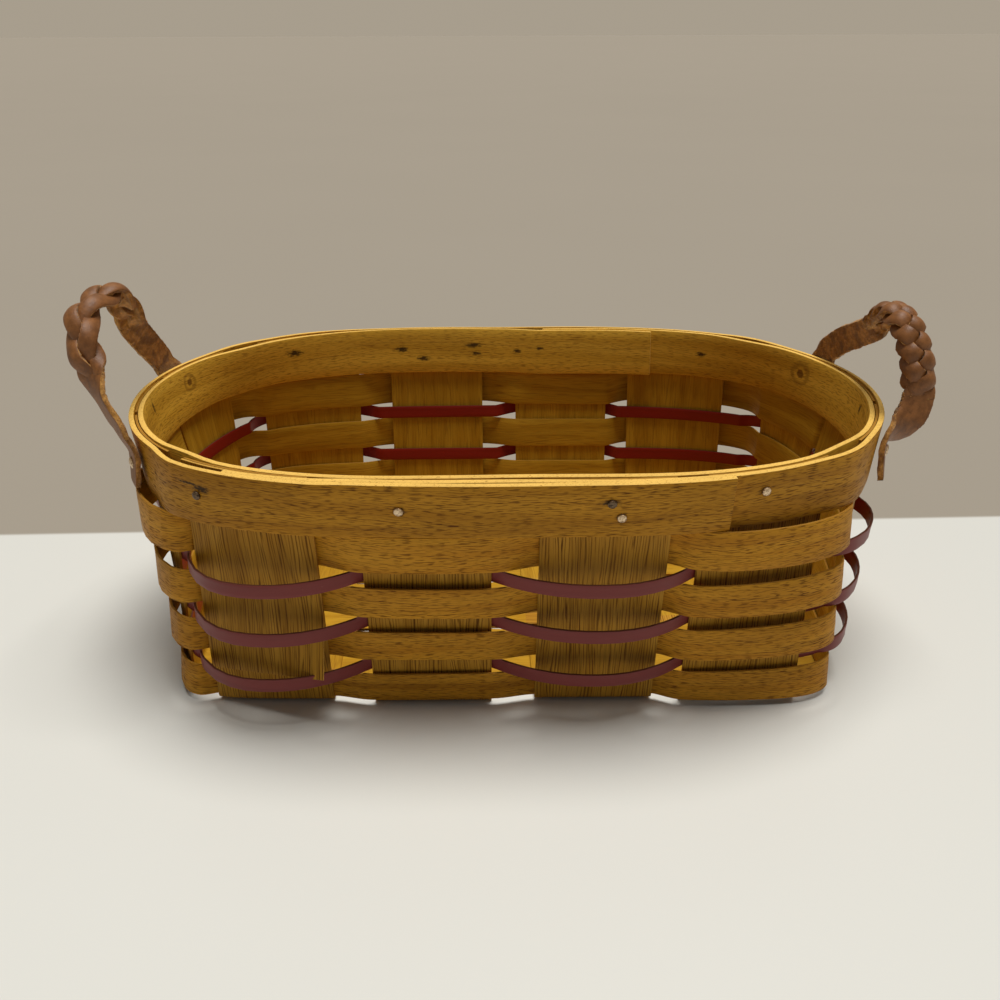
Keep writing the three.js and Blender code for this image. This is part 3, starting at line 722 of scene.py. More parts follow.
def rough_leather(name, tone, bright, dark):
    """The strap's flesh side and edges: suede with a loose, mottled nap."""
    finish = Finish(name, Specular_IOR_Level=0.12, Sheen_Weight=0.25, Sheen_Roughness=0.5)
    place = finish.place()
    nap = finish.noise(place, 0.0005, 0.0005, 4, 0.75)
    mottle = finish.noise(place, 0.0023, 0.0023, 3, 0.6)
    body = finish.blend(finish.step(mottle, 0.36, 0.66), rgb(*tone), rgb(*bright))
    body = finish.blend(finish.step(nap, 0.5, 0.68) * 0.7, body, rgb(*dark))
    worn = finish.noise(place, 0.006, 0.006, 2, 0.5)
    body = finish.blend((1 - finish.step(worn, 0.34, 0.62)) * 0.6, body, rgb(*dark))
    finish.bump(nap + mottle * 0.6, 0.0007, 0.9)
    return finish.paint(body, 0.9 + nap * 0.08)


def worn_brass(name, tone, dark):
    finish = Finish(name, Metallic=1.0)
    place = finish.place()
    tarnish = finish.noise(place, 0.0007, 0.0007, 3, 0.6)
    body = finish.blend(finish.step(tarnish, 0.42, 0.7), rgb(*tone), rgb(*dark))
    finish.bump(tarnish, 0.0002, 0.4)
    return finish.paint(body, 0.32 + tarnish * 0.3)


# Each wood has its tone, the tone of its slow bands, that of its flecks or pores, the flecks' length and
# height, and how strongly they show. The sides that face in, and the inner rim band, have copies of their
# own with painted light: they are yellower than the outside's, and the inner band's is much brighter,
# standing in for the light that bounces round inside the basket under this lamp. The real strips are one
# wood on both sides.
WEAVER_TONES = ((0.58, 0.27, 0.018), (0.48, 0.2, 0.01), (0.15, 0.05, 0.003), (4.2, 0.5), 0.75)
WEAVER_INSIDE_TONES = ((0.52, 0.29, 0.022), (0.42, 0.215, 0.012), (0.24, 0.1, 0.006), (9, 0.7), 0.4)
RIM_TONES = ((0.52, 0.24, 0.016), (0.42, 0.18, 0.009), (0.13, 0.043, 0.003), (4.6, 0.5), 0.78)
RIM_INSIDE_PAINTED_LIGHT_TONES = ((0.74, 0.42, 0.046), (0.6, 0.32, 0.028), (0.26, 0.11, 0.01), (4.2, 0.5), 0.6)
STAKE_TONES = ((0.5, 0.25, 0.026), (0.4, 0.185, 0.015), (0.11, 0.038, 0.003), None, 0.8)
STAKE_INSIDE_TONES = ((0.5, 0.275, 0.02), (0.4, 0.2, 0.011), (0.22, 0.09, 0.005), (12, 0.7), 0.4)
STAKE_PORES = 1.25
WEAVER_WOOD = wood("weaver_wood", *WEAVER_TONES)
WEAVER_INSIDE_PAINTED_LIGHT = wood("weaver_inside_painted_light", *WEAVER_INSIDE_TONES)
OUTER_RIM_WOOD = wood("outer_rim_wood", *RIM_TONES, marks=FRONT_MARKS)
INNER_RIM_PAINTED_LIGHT_WOOD = wood("inner_rim_painted_light_wood", *RIM_INSIDE_PAINTED_LIGHT_TONES, marks=INSIDE_MARKS, knots=INSIDE_KNOTS)
STAKE_WOOD = wood("stake_wood", *STAKE_TONES, pores=STAKE_PORES)
STAKE_INSIDE_PAINTED_LIGHT = wood("stake_inside_painted_light", *STAKE_INSIDE_TONES)
EDGE_WOOD = cut_edge("edge_wood", (0.42, 0.2, 0.024), (0.14, 0.05, 0.005))
PLY_EDGE_WOOD = cut_edge("ply_edge_wood", (0.62, 0.34, 0.06), (0.2, 0.08, 0.01))
RIM_EDGE_WOOD = cut_edge("rim_edge_wood", (0.88, 0.54, 0.12), (0.32, 0.13, 0.016))
RED_WOOD = stained_wood("red_wood", (0.2, 0.034, 0.03), (0.36, 0.16, 0.1))
# The red weavers' inside face is a copy with painted shade: darker and redder than the outside red, for
# the shade inside the basket.
RED_INSIDE_PAINTED_SHADE = stained_wood("red_inside_painted_shade", (0.23, 0.012, 0.006), (0.3, 0.04, 0.02))
RED_EDGE = cut_edge("red_edge_wood", (0.1, 0.03, 0.014), (0.04, 0.012, 0.005))
GRAIN_LEATHER = smooth_leather("grain_leather", (0.26, 0.1, 0.025), (0.15, 0.053, 0.011))
SUEDE_LEATHER = rough_leather("suede_leather", (0.46, 0.2, 0.04), (0.72, 0.36, 0.085), (0.12, 0.044, 0.01))
BRASS = worn_brass("brass", (0.72, 0.56, 0.38), (0.24, 0.15, 0.08))
DARK_NAIL = worn_brass("dark_nail", (0.16, 0.11, 0.07), (0.03, 0.02, 0.014))


# Shaping. Every strip and strap starts as a grid primitive laid over rows of points.
def select_only(piece):
    bpy.ops.object.select_all(action="DESELECT")
    piece.select_set(True)
    bpy.context.view_layer.objects.active = piece


def in_edit_mode(piece, work):
    select_only(piece)
    bpy.ops.object.mode_set(mode="EDIT")
    bpy.ops.mesh.select_all(action="SELECT")
    work()
    bpy.ops.object.mode_set(mode="OBJECT")


BEVEL_SEGMENTS = 2
BEVEL_ANGLE = math.radians(50)
STRIP_SMOOTHING = math.radians(40)
HEAD_SMOOTHING = math.radians(50)


def apply_modifier(piece, kind, **settings):
    modifier = piece.modifiers.new(kind.lower(), kind)
    for name, value in settings.items():
        setattr(modifier, name, value)
    select_only(piece)
    bpy.ops.object.modifier_apply(modifier=modifier.name)


GRAIN_SHIFT_ALONG = 37.7
GRAIN_SHIFT_ACROSS = 61.3
WELD_REACH = 0.01


def bevelled(piece, width):
    apply_modifier(
        piece,
        "BEVEL",
        width=width * MM,
        segments=BEVEL_SEGMENTS,
        limit_method="ANGLE",
        angle_limit=BEVEL_ANGLE,
    )


def laid_grid(name, rows, grain_shift, closed=False):
    """A grid primitive with one row of vertices on each row of points. Its UV map holds the millimetres
    along the rows, shifted to a stretch of grain of its own, and the millimetres across them."""
    steps, cells = len(rows) - 1, len(rows[0]) - 1
    bpy.ops.object.select_all(action="DESELECT")
    bpy.ops.mesh.primitive_grid_add(x_subdivisions=steps, y_subdivisions=cells, size=1)
    piece = bpy.context.object
    piece.name = piece.data.name = name
    mesh = piece.data
    lengths = [0.0]
    for row, following in zip(rows, rows[1:]):
        lengths.append(lengths[-1] + (following[cells // 2] - row[cells // 2]).length)
    widths = [0.0]
    for point, following in zip(rows[steps // 2], rows[steps // 2][1:]):
        widths.append(widths[-1] + (following - point).length)
    spots = [(round((v.co.x + 0.5) * steps), round((v.co.y + 0.5) * cells)) for v in mesh.vertices]
    for vertex, (i, j) in zip(mesh.vertices, spots):
        vertex.co = placed(rows[i][j])
    layer = mesh.uv_layers["UVMap"].data
    for loop in mesh.loops:
        i, j = spots[loop.vertex_index]
        along = lengths[i] + grain_shift * GRAIN_SHIFT_ALONG
        layer[loop.index].uv = (along, widths[j] + grain_shift * GRAIN_SHIFT_ACROSS)
    if closed:
        in_edit_mode(piece, lambda: bpy.ops.mesh.remove_doubles(threshold=WELD_REACH * MM))
    return piece


def thickened(piece, thickness, materials, rounding, other_side=0, even=True):
    """Gives a laid grid its thickness, its materials (face, edge, any other) and rounded edges. The
    face on the other side takes the material at that place."""
    for material in materials:
        piece.data.materials.append(material)
    apply_modifier(
        piece,
        "SOLIDIFY",
        thickness=thickness * MM,
        offset=0,
        use_even_offset=even,
        material_offset=other_side,
        material_offset_rim=1,
    )
    bevelled(piece, rounding)
    select_only(piece)
    bpy.ops.object.shade_smooth_by_angle(angle=STRIP_SMOOTHING)


def dressed(piece, body="basket", replaces=()):
    """Puts a finished piece on its body and in place of its nodes."""
    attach(piece, body)
    if replaces:
        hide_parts(*replaces)


WANDER_SPEED = 0.018
WANDER_APART = 5.3
WANDER_LEVEL = 0.7


def waver(seed, place, size):
    """A slow, small wander, the same on each run."""
    return noise.noise(Vector((place * WANDER_SPEED, seed * WANDER_APART, WANDER_LEVEL))) * size


# Weavers.
ACROSS_STEPS = 4
EDGE_WANDER = 0.55
FACE_WANDER = 0.2
WEAVER_ROUNDING = 0.2


def weaver_rows(bottom, width, lower, upper, seed):
    rows = []
    stations = list(zip(RING, lower, upper))
    place = 0.0
    for i, (station, low, high) in enumerate(stations + stations[:1]):
        if i:
            before = RING[(i - 1) % len(RING)].line.point(bottom)
            place += (station.line.point(bottom) - before).length
        fade = 1 if 0 < i < len(RING) else 0
        row = []
        for share in shares(ACROSS_STEPS):
            rise = waver(seed, place, EDGE_WANDER) * fade
            out = waver(seed + 40 + share, place * 2, FACE_WANDER) * fade
            row.append(station.line.point(bottom + width * share + rise, lerp(low, high, share) + out))
        rows.append(row)
    return rows


def add_weavers():
    for row in range(ROWS):
        top = row == ROWS - 1
        bottom = FIRST_ROW + row * ROW_PITCH
        width = TOP_ROW_SHOWING - CLEARANCE if top else WIDE_WIDTH
        lower, upper = wide_offsets(bottom, 1), wide_offsets(bottom + width, -1)
        name = f"wide_weaver_{row + 1}"
        rows = weaver_rows(bottom, width, lower, upper, row)
        piece = laid_grid(f"{name}_strip", rows, row + 1, closed=True)
        # The inside face takes the weaver wood's copy with painted light.
        faces = (WEAVER_WOOD, EDGE_WOOD, WEAVER_INSIDE_PAINTED_LIGHT)
        thickened(piece, WEAVER_THICKNESS, faces, WEAVER_ROUNDING, other_side=2)
        dressed(piece, replaces=[name])
        if top:
            continue
        bottom += WIDE_WIDTH + ROW_GAP
        name = f"red_weaver_{row + 1}"
        offsets = narrow_offsets(bottom)
        rows = weaver_rows(bottom, NARROW_WIDTH, offsets, offsets, row + 10)
        piece = laid_grid(f"{name}_strip", rows, row + 11, closed=True)
        # The inside face takes the red wood's copy with painted shade.
        faces = (RED_WOOD, RED_EDGE, RED_INSIDE_PAINTED_SHADE)
        thickened(piece, WEAVER_THICKNESS, faces, WEAVER_ROUNDING, other_side=2)
        dressed(piece, replaces=[name])


# Stakes.
STAKE_BEND = 2.0
LOWER_LAYER = STAKE_THICKNESS / 2
UPPER_LAYER = LOWER_LAYER + STAKE_THICKNESS + CLEARANCE
WALL_STEPS = 20
BEND_STEPS = 5
STEP_STEPS = 4
STAKE_COLUMNS = 8
STAKE_ROUNDING = 0.15


def wall_and_bend(line, layer, steps):
    """A column of a stake from its top down the wall and round the bend into the base."""
    start = layer + STAKE_BEND
    points = [line.point(z) for z in shares(steps, STAKE_TOP, start)]
    foot = line.point(start)
    corner = line.point(layer)
    inner = corner - line.normal(layer) * STAKE_BEND
    for t in shares(BEND_STEPS)[1:]:
        points.append(foot.lerp(corner, t).lerp(corner.lerp(inner, t), t))
    return points


def base_run(crossings):
    """Places along a base strip and its height there: flat at each crossing, and stepping between."""
    places = []
    for (low, high, layer), (following, _, layer_after) in zip(crossings, crossings[1:]):
        places += [(low, layer), ((low + high) / 2, layer)]
        for t in shares(STEP_STEPS):
            places.append((lerp(high, following, t), lerp(layer, layer_after, smooth(t))))
    low, high, layer = crossings[-1]
    return places[1:] + [((low + high) / 2, layer)]


def stake_rows(run, centre, width, crossings):
    direction = 1 if run == "x" else -1
    ats = [centre + direction * across * width / 2 for across in shares(STAKE_COLUMNS, -1, 1)]
    near = [wall_and_bend(side_line(run, -1, at), crossings[0][2], WALL_STEPS) for at in ats]
    far = [wall_and_bend(side_line(run, 1, at), crossings[-1][2], WALL_STEPS) for at in ats]
    rows = [list(row) for row in zip(*near)]
    for place, height in base_run(crossings):
        spots = [(at, place) if run == "x" else (place, at) for at in ats]
        rows.append([Vector((*spot, height)) for spot in spots])
    return rows + [list(row) for row in zip(*far)][::-1]


def layer_at(i, j, is_cross):
    """The layer of a stake's strip where cross stake i meets long stake j."""
    return UPPER_LAYER if ((i + j) % 2 == 0) == is_cross else LOWER_LAYER


def add_stake(name, run, at, width, crossings, grain_shift):
    piece = laid_grid(f"{name}_strip", stake_rows(run, at, width, crossings), grain_shift)
    # The inside face takes the stake wood's copy with painted light.
    faces = (STAKE_WOOD, EDGE_WOOD, STAKE_INSIDE_PAINTED_LIGHT)
    thickened(piece, STAKE_THICKNESS, faces, STAKE_ROUNDING, other_side=2)
    dressed(piece, replaces=[name])


def add_stakes():
    half_cross, half_long = CROSS_WIDTH / 2, LONG_WIDTH / 2
    for i, x in enumerate(CROSS_CENTRES):
        crossings = [
            (y - half_long, y + half_long, layer_at(i, j, True)) for j, y in enumerate(LONG_CENTRES)
        ]
        add_stake(f"cross_stake_{i + 1}", "x", x, CROSS_WIDTH, crossings, 21 + i)
    for j, y in enumerate(LONG_CENTRES):
        crossings = [
            (x - half_cross, x + half_cross, layer_at(i, j, False)) for i, x in enumerate(CROSS_CENTRES)
        ]
        add_stake(f"long_stake_{j + 1}", "y", y, LONG_WIDTH, crossings, 31 + j)


def add_ply():
    """The ply lies on the left front stake, and its free right corner curls out over a red weaver."""
    rows = []
    for share in shares(PLY_STEPS):
        row = []
        for across in shares(STAKE_COLUMNS, 1, -1):
            line = side_line("x", -1, CROSS_CENTRES[0] + across * CROSS_WIDTH / 2)
            aside = (across + 1) / 2
            bottom = lerp(PLY_BOTTOM_LEFT, PLY_BOTTOM_RIGHT, aside)
            z = lerp(bottom, STAKE_TOP, share)
            curl = clamp((PLY_CURL_TOP - z) / (PLY_CURL_TOP - bottom))
            lift = PLY_LIFT * curl**PLY_CURL_POWER * aside**PLY_ASIDE_POWER
            row.append(line.point(z, WOVEN + lift))
        rows.append(row)
    piece = laid_grid("stake_ply_strip", rows, 41)
    # The inside face takes the stake wood's copy with painted light.
    faces = (STAKE_WOOD, PLY_EDGE_WOOD, STAKE_INSIDE_PAINTED_LIGHT)
    thickened(piece, STAKE_THICKNESS, faces, STAKE_ROUNDING, other_side=2)
    dressed(piece, replaces=["stake_ply"])


# Rim bands.
def is_side(station, side):
    return station.line.run == "x" and station.line.side == side


RIM_PLACES = ring_places(RIM_HEIGHT)
CORNER_EASE = 12.0
LAP_EASE = 17.0
BAND_RISE_WANDER = 0.7
BAND_FACE_WANDER = 0.25
BAND_ROUNDING = 0.5


def corner_spans():
    """Where the bands stand off the stakes round each corner, as places along the rim."""
    around = RIM_PLACES[-1]
    spans = []
    for k in range(len(UPRIGHTS)):
        following = (k + 1) % len(UPRIGHTS)
        if turns_between(k, following):
            start = RIM_PLACES[ON_UPRIGHT[k][-1]]
            end = RIM_PLACES[ON_UPRIGHT[following][0]] + (around if following == 0 else 0)
            spans.append((start - CORNER_EASE, end + (LAP_EASE if following == 0 else CORNER_EASE)))
    return spans


CORNER_SPANS = corner_spans()


def share_of_span(place, span):
    """How far through a span a place lies: 0 before it and 1 after it."""
    start, end = span
    return clamp((place - start) / (end - start))


def spread(place):
    """The bands stand apart from the stakes' line round the corners."""
    around = RIM_PLACES[-1]
    passes = [share_of_span(place + turn, span) for span in CORNER_SPANS for turn in (-around, 0, around)]
    return sum(BAND_SPREAD * math.sin(math.pi * share) ** 2 for share in passes)


def outer_band_route():
    """From under its own lap on the left front stake, once round, and on top to the free end. It lies
    on the stakes, and over the ply on the left front one."""
    around = RIM_PLACES[-1]
    first = next(i for i, station in enumerate(RING) if not is_side(station, -1))
    end = CROSS_CENTRES[-1] + OUTER_LAP_SHIFT
    start = CROSS_CENTRES[0] - CROSS_WIDTH / 6
    route = []
    for station, place in zip(RING[:first], RIM_PLACES):
        if station.line.at > start:
            route.append((station.line, BAND_OFFSET + spread(place) + PLY_RAISE * past_ply(station)))
    for station, place in zip(RING[first:], RIM_PLACES[first:]):
        raised = smooth(share_of_span(place, CORNER_SPANS[-1])) * (PLY_RAISE + LAP_RAISE)
        route.append((station.line, BAND_OFFSET + spread(place) + raised))
    for station, place in zip(RING[:first], RIM_PLACES):
        if station.line.at < end - 1:
            step = smooth(share_of_span(place + around, CORNER_SPANS[-1]))
            raised = step * (PLY_RAISE * past_ply(station) + LAP_RAISE)
            route.append((station.line, BAND_OFFSET + spread(place) + raised))
    return route + [(side_line("x", -1, end), BAND_OFFSET + LAP_RAISE)]


def past_ply(station):
    """1 on the left front stake, down to 0 across the gap after it."""
    return 1 - smooth(station.gap or 0) if station.upright == 0 else 0


def inner_band_route():
    """The inner band is lapped the same way at the back, with its free end on the inside."""
    first = next(i for i, station in enumerate(RING) if is_side(station, 1))
    ring = list(zip(RING, RIM_PLACES))
    ring = ring[first:] + ring[:first]
    back = [(station, place) for station, place in ring if is_side(station, 1)]
    rest = ring[len(back) :]
    free_end = CROSS_CENTRES[-1] + INNER_LAP_SHIFT
    start = CROSS_CENTRES[-2] + INNER_START_SHIFT
    route = [(side_line("x", 1, free_end), -BAND_OFFSET - LAP_RAISE)]
    for station, place in back:
        x = station.line.at
        if x < free_end - 1:
            raised = LAP_RAISE * smooth((x - start + LAP_STEP) / LAP_STEP)
            route.append((station.line, -BAND_OFFSET - spread(place) - raised))
    rest += [(station, place) for station, place in back if station.line.at > start + 1]
    route += [(station.line, -BAND_OFFSET - spread(place)) for station, place in rest]
    return route + [(side_line("x", 1, start), -BAND_OFFSET)]


def band_rows(route, seed):
    rows = []
    place = 0.0
    for i, (line, offset) in enumerate(route):
        if i:
            place += (line.point(BAND_BOTTOM) - route[i - 1][0].point(BAND_BOTTOM)).length
        rise = waver(seed, place, BAND_RISE_WANDER)
        out = offset + waver(seed + 3, place, BAND_FACE_WANDER)
        rows.append([line.point(z + rise, out) for z in shares(ACROSS_STEPS, BAND_BOTTOM, RIM_HEIGHT)])
    return rows


def add_bands():
    # The inner band's wood is the rim wood's copy with painted light, brighter than the outer band's.
    for name, route, material, seed in (
        ("outer_rim_band", outer_band_route(), OUTER_RIM_WOOD, 51),
        ("inner_rim_band", inner_band_route(), INNER_RIM_PAINTED_LIGHT_WOOD, 52),
    ):
        piece = laid_grid(f"{name}_strip", band_rows(route, seed), seed)
        thickened(piece, BAND_THICKNESS, (material, RIM_EDGE_WOOD), BAND_ROUNDING)
        dressed(piece, replaces=[name])


# Nails: one domed head is modelled and copied to each place.
RIM_NAILS = (
    # side, cross stake, millimetres along from its middle, and below the rim
    (-1, 0, -15.4, 11.0),
    (-1, 1, -8.9, 11.5),
    (-1, 2, 0.6, 8.5),
    (-1, 2, 4.6, 15.0),
    (-1, 3, -3.2, 8.5),
    (1, 0, 0.0, 10.0),
    (1, 1, -10.9, 10.0),
    (1, 1, 11.1, 13.0),
    (1, 2, 0.0, 11.0),
    (1, 3, -13.2, 9.0),
    (1, 3, 10.8, 12.0),
)
NAIL_RADIUS = 1.8
NAIL_HEIGHT = 0.8
HEAD_SIDES = 20
HEAD_INSETS = (0.45, 0.5)
HEAD_RISE = 0.22
TARNISHED = (1, 3)
EAR_NAIL_WIDER = 1.4
EAR_NAIL_HIGHER = 1.2


def domed_head():
    """A nail head: a disc with its edge rolled over and its top slightly domed."""
    bpy.ops.object.select_all(action="DESELECT")
    size = {"radius": NAIL_RADIUS * MM, "depth": NAIL_HEIGHT * MM}
    bpy.ops.mesh.primitive_cylinder_add(vertices=HEAD_SIDES, **size)
    head = bpy.context.object

    def dome():
        bpy.ops.mesh.select_all(action="DESELECT")
        bpy.ops.object.mode_set(mode="OBJECT")
        for face in head.data.polygons:
            face.select = face.normal.z > 0.9
        bpy.ops.object.mode_set(mode="EDIT")
        for inset in HEAD_INSETS:
            bpy.ops.mesh.inset(thickness=inset * MM)
            bpy.ops.transform.translate(value=(0, 0, HEAD_RISE * MM))

    in_edit_mode(head, dome)
    bevelled(head, HEAD_RISE)
    select_only(head)
    bpy.ops.object.shade_smooth_by_angle(angle=HEAD_SMOOTHING)
    return head


def seat(line, z, offset):
    """The turned frame of a nail's seat on a face."""
    point = line.point(z, offset)
    level = Vector((-line.normal(z).y, line.normal(z).x, 0))
    outward = level.cross(line.point(RIM_HEIGHT, offset) - point).normalized()
    turn = UP.rotation_difference(outward).to_matrix().to_4x4()
    return Matrix.Translation(placed(point)) @ turn


def copy_of(pattern, name, place):
    piece = pattern.copy()
    piece.data = pattern.data.copy()
    piece.name = piece.data.name = name
    bpy.context.scene.collection.objects.link(piece)
    piece.data.transform(place)
    return piece


def add_nails():
    pattern = domed_head()
    pattern.data.materials.append(BRASS)
    for i, (side, stake, along, below) in enumerate(RIM_NAILS):
        x = CROSS_CENTRES[stake] + along
        on_lap = LAP_RAISE if side < 0 and x < CROSS_CENTRES[-1] + OUTER_LAP_SHIFT else 0
        on_ply = PLY_RAISE if side < 0 and stake == 0 else 0
        place = seat(side_line("x", side, x), RIM_HEIGHT - below, BAND_FACE + on_lap + on_ply)
        lift = Matrix.Translation((0, 0, NAIL_HEIGHT * MM / 2))
        piece = copy_of(pattern, f"rim_nail_head_{i + 1}", place @ lift)
        if i + 1 in TARNISHED:
            piece.data.materials[0] = DARK_NAIL
        dressed(piece, replaces=[f"rim_nail_{i + 1}"])
    for ear, side in (("left", -1), ("right", 1)):
        for end, at in tab_places():
            line = side_line("y", side, at)
            middle = (BAND_BOTTOM + RIM_HEIGHT) / 2
            place = seat(line, middle, STRAP_OFFSET + STRAP_THICKNESS / 2 + tab_swing(middle))
            wider = Matrix.Diagonal((EAR_NAIL_WIDER, EAR_NAIL_WIDER, EAR_NAIL_HIGHER, 1))
            piece = copy_of(pattern, f"{ear}_ear_{end}_nail_head", place @ wider)
            dressed(piece, replaces=[f"{ear}_ear_{end}_nail"])
    bpy.data.objects.remove(pattern)


# Leather ears. Each is one strap: nailed flat at both ends, slit and braided between.
def tab_places():
    return (("front", LONG_CENTRES[0] + TAB_SHIFT), ("back", LONG_CENTRES[-1] + TAB_SHIFT))


# From the front pivot to the back one: how far each point lies out from the line between the pivots,
# its share of the way along it, and its height above it.
EAR_ROUTES = {
    "left": (
        (4.0, 0, 0),
        (7.1, 0.012, 5.9),
        (11.2, 0.036, 15.5),
        (13.2, 0.06, 23.6),
        (14.8, 0.088, 31.5),
        (16, 0.125, 38),
        (16.2, 0.175, 42.3),
        (13.3, 0.285, 46.4),
        (9, 0.42, 46.3),
        (8.6, 0.585, 35),
        (9.6, 0.7, 23.8),
        (8.3, 0.8, 14.8),
        (6.5, 0.885, 6.8),
        (5.2, 0.95, 0),
    ),
    "right": (
        (7.2, 0, -2.5),
        (10, 0.012, 1.5),
        (11.8, 0.03, 6.5),
        (12.2, 0.05, 12.5),
        (11.8, 0.075, 20),
        (10.4, 0.11, 27),
        (8.4, 0.17, 34),
        (6.7, 0.27, 37.3),
        (6.6, 0.38, 35),
        (8.8, 0.5, 28),
        (9.6, 0.59, 22),
        (7.8, 0.7, 16.2),
        (4.9, 0.83, 9.6),
        (3.2, 0.91, 4),
        (2.3, 0.96, 0),
    ),
}
EAR_BRAIDS = {
    # share of the loop where the slits begin and end, and turns of the braid
    "left": (0.17, 0.74, 1.67),
    "right": (0.1, 0.66, 3.33),
}
EAR_TWISTS = {
    # share of the loop, and how far the strap has turned from facing out of the basket, at 0, to facing
    # out of the loop, at 1
    "left": ((0, 0), (0.08, 0), (0.24, 1), (0.66, 1), (0.8, 0.3), (1, 0)),
    "right": ((0, 0.8), (0.03, 1), (0.56, 1), (0.7, 0.3), (1, 0)),
}
TAB_ENDS = {"left": 95.0, "right": 92.5}
TAB_SWING = 3.2
TAB_MEETS = 12.0
TAB_TWIST = 10.0
TAB_PULL = 6.0
LOOP_STEPS = 150
CURVE_STEPS = 30
TAB_STEPS = 10
FRONT_STRAP_STEPS = 24
BACK_STRAP_STEPS = 36
STRAND_STEPS = 130
STRAP_COLUMNS = 6
STRANDS = 3
SLIT_GAP = 0.2
SLIT_OVERLAP = 0.012
STRAP_SHAVED = 0.3
STRAP_ROUNDING = 0.5
STRAP_END_NARROWING = 0.9
HINGE_REACH = 2.5
SLOT_CHANGE = 0.4
SLOT_CHANGE_LENGTH = 0.2
SLIT_WIDTH = STRAP_WIDTH / STRANDS
STRAND_WIDTH = 6.2
STRAND_CROWN = 0.95
STRAP_CROWN = 0.25
NAP_ROUGHNESS = 0.3
BRAID_REACH = 3.9
BRAID_DEPTH = 2.0
BRAID_TAPER = 0.1
STRAND_BANK = math.radians(34)


def spline(points, count):
    """count + 1 points at even steps along a smooth curve through the points, upright at both ends."""
    ends = [points[0] - UP * TAB_PULL, *points, points[-1] - UP * TAB_PULL]
    fine = []
    for a, b, c, d in zip(ends, ends[1:], ends[2:], ends[3:]):
        knots = [0.0]
        for p, q in ((a, b), (b, c), (c, d)):
            knots.append(knots[-1] + (q - p).length ** 0.5)
        t0, t1, t2, t3 = knots
        for t in shares(CURVE_STEPS, t1, t2)[:-1]:
            ab = a.lerp(b, (t - t0) / (t1 - t0))
            bc = b.lerp(c, (t - t1) / (t2 - t1))
            cd = c.lerp(d, (t - t2) / (t3 - t2))
            abc = ab.lerp(bc, (t - t0) / (t2 - t0))
            bcd = bc.lerp(cd, (t - t1) / (t3 - t1))
            fine.append(abc.lerp(bcd, (t - t1) / (t2 - t1)))
    fine.append(points[-1])
    lengths = [0.0]
    for p, q in zip(fine, fine[1:]):
        lengths.append(lengths[-1] + (q - p).length)
    evenly = []
    i = 0
    for length in shares(count, 0, lengths[-1]):
        while i < len(fine) - 2 and lengths[i + 1] < length:
            i += 1
        share = clamp((length - lengths[i]) / (lengths[i + 1] - lengths[i]))
        evenly.append(fine[i].lerp(fine[i + 1], share))
    return evenly


class Ear:
    """One ear's middle line and the way that its strap faces, at each share of the loop."""

    def __init__(self, name, side):
        self.name = name
        self.side = side
        lines = [side_line("y", side, at) for _, at in tab_places()]
        self.front, self.back = (line.point(PIVOT_HEIGHT, STRAP_OFFSET) for line in lines)
        self.span = self.back - self.front
        hinge = self.span.normalized()
        self.outward = Vector((side * hinge.y, -side * hinge.x, 0))
        self.facings = [line.normal(PIVOT_HEIGHT) for line in lines]
        route = [self.front + self.off(*place) for place in EAR_ROUTES[name]]
        self.points = spline(route, LOOP_STEPS)
        self.lines = lines
        self.leans = (route[0] - self.front, route[-1] - self.back)

    def off(self, out, share, rise):
        return self.span * share + self.outward * out + UP * rise

    def turned_at(self, t):
        knots = EAR_TWISTS[self.name]
        for (low, turned_before), (high, turned_after) in zip(knots, knots[1:]):
            if t <= high:
                return lerp(turned_before, turned_after, smooth((t - low) / (high - low)))
        return knots[-1][1]

    def place(self, t):
        """The point, the way along, across and out of the strap's grain side at share t of the loop."""
        i = clamp(t) * LOOP_STEPS
        k = min(int(i), LOOP_STEPS - 1)
        point = self.points[k].lerp(self.points[k + 1], i - k)
        low, high = max(k - 1, 0), min(k + 2, LOOP_STEPS)
        along = (self.points[high] - self.points[low]).normalized()
        over = (self.outward * self.side).cross(along)
        facing = self.facings[0 if t < 0.5 else 1].lerp(over, self.turned_at(t))
        facing = (facing - along * facing.dot(along)).normalized()
        return point, along, facing.cross(along).normalized(), facing

    def tab_point(self, end, z):
        """The tab's middle line. Up towards the pivot it leans over to where the loop begins."""
        line = self.lines[end]
        lean = self.leans[end] * smooth((z - PIVOT_HEIGHT + TAB_MEETS) / TAB_MEETS)
        return line.point(z, STRAP_OFFSET + tab_swing(z)) + lean

    def tab(self, end):
        """The strap's stretch down the rim, from the pivot."""
        frames = []
        for z in shares(TAB_STEPS, TAB_ENDS[self.name], PIVOT_HEIGHT)[:-1]:
            point = self.tab_point(end, z)
            along = (self.tab_point(end, z + 0.5) - point).normalized() * (1 if end == 0 else -1)
            over = (self.outward * self.side).cross(along)
            turned = self.turned_at(end) * smooth((z - PIVOT_HEIGHT + TAB_TWIST) / TAB_TWIST)
            facing = self.lines[end].normal(z).lerp(over, turned)
            facing = (facing - along * facing.dot(along)).normalized()
            frames.append((point, along, facing.cross(along).normalized(), facing))
        return frames if end == 0 else frames[::-1]


def tab_swing(z):
    """A tab hangs a little free of the band below its nail."""
    return TAB_SWING * clamp((RIM_HEIGHT - z) / BAND_WIDTH) ** 1.6


def strap_rows(frames, narrow_end):
    rows = []
    for i, (point, along, across, facing) in enumerate(frames):
        narrowing = STRAP_END_NARROWING if i == narrow_end else 1.0
        row = []
        for share in shares(STRAP_COLUMNS, -1, 1):
            crown = STRAP_CROWN * (1 - share * share)
            row.append(point + across * (share * STRAP_WIDTH / 2 * narrowing) + facing * crown)
        rows.append(row)
    return rows


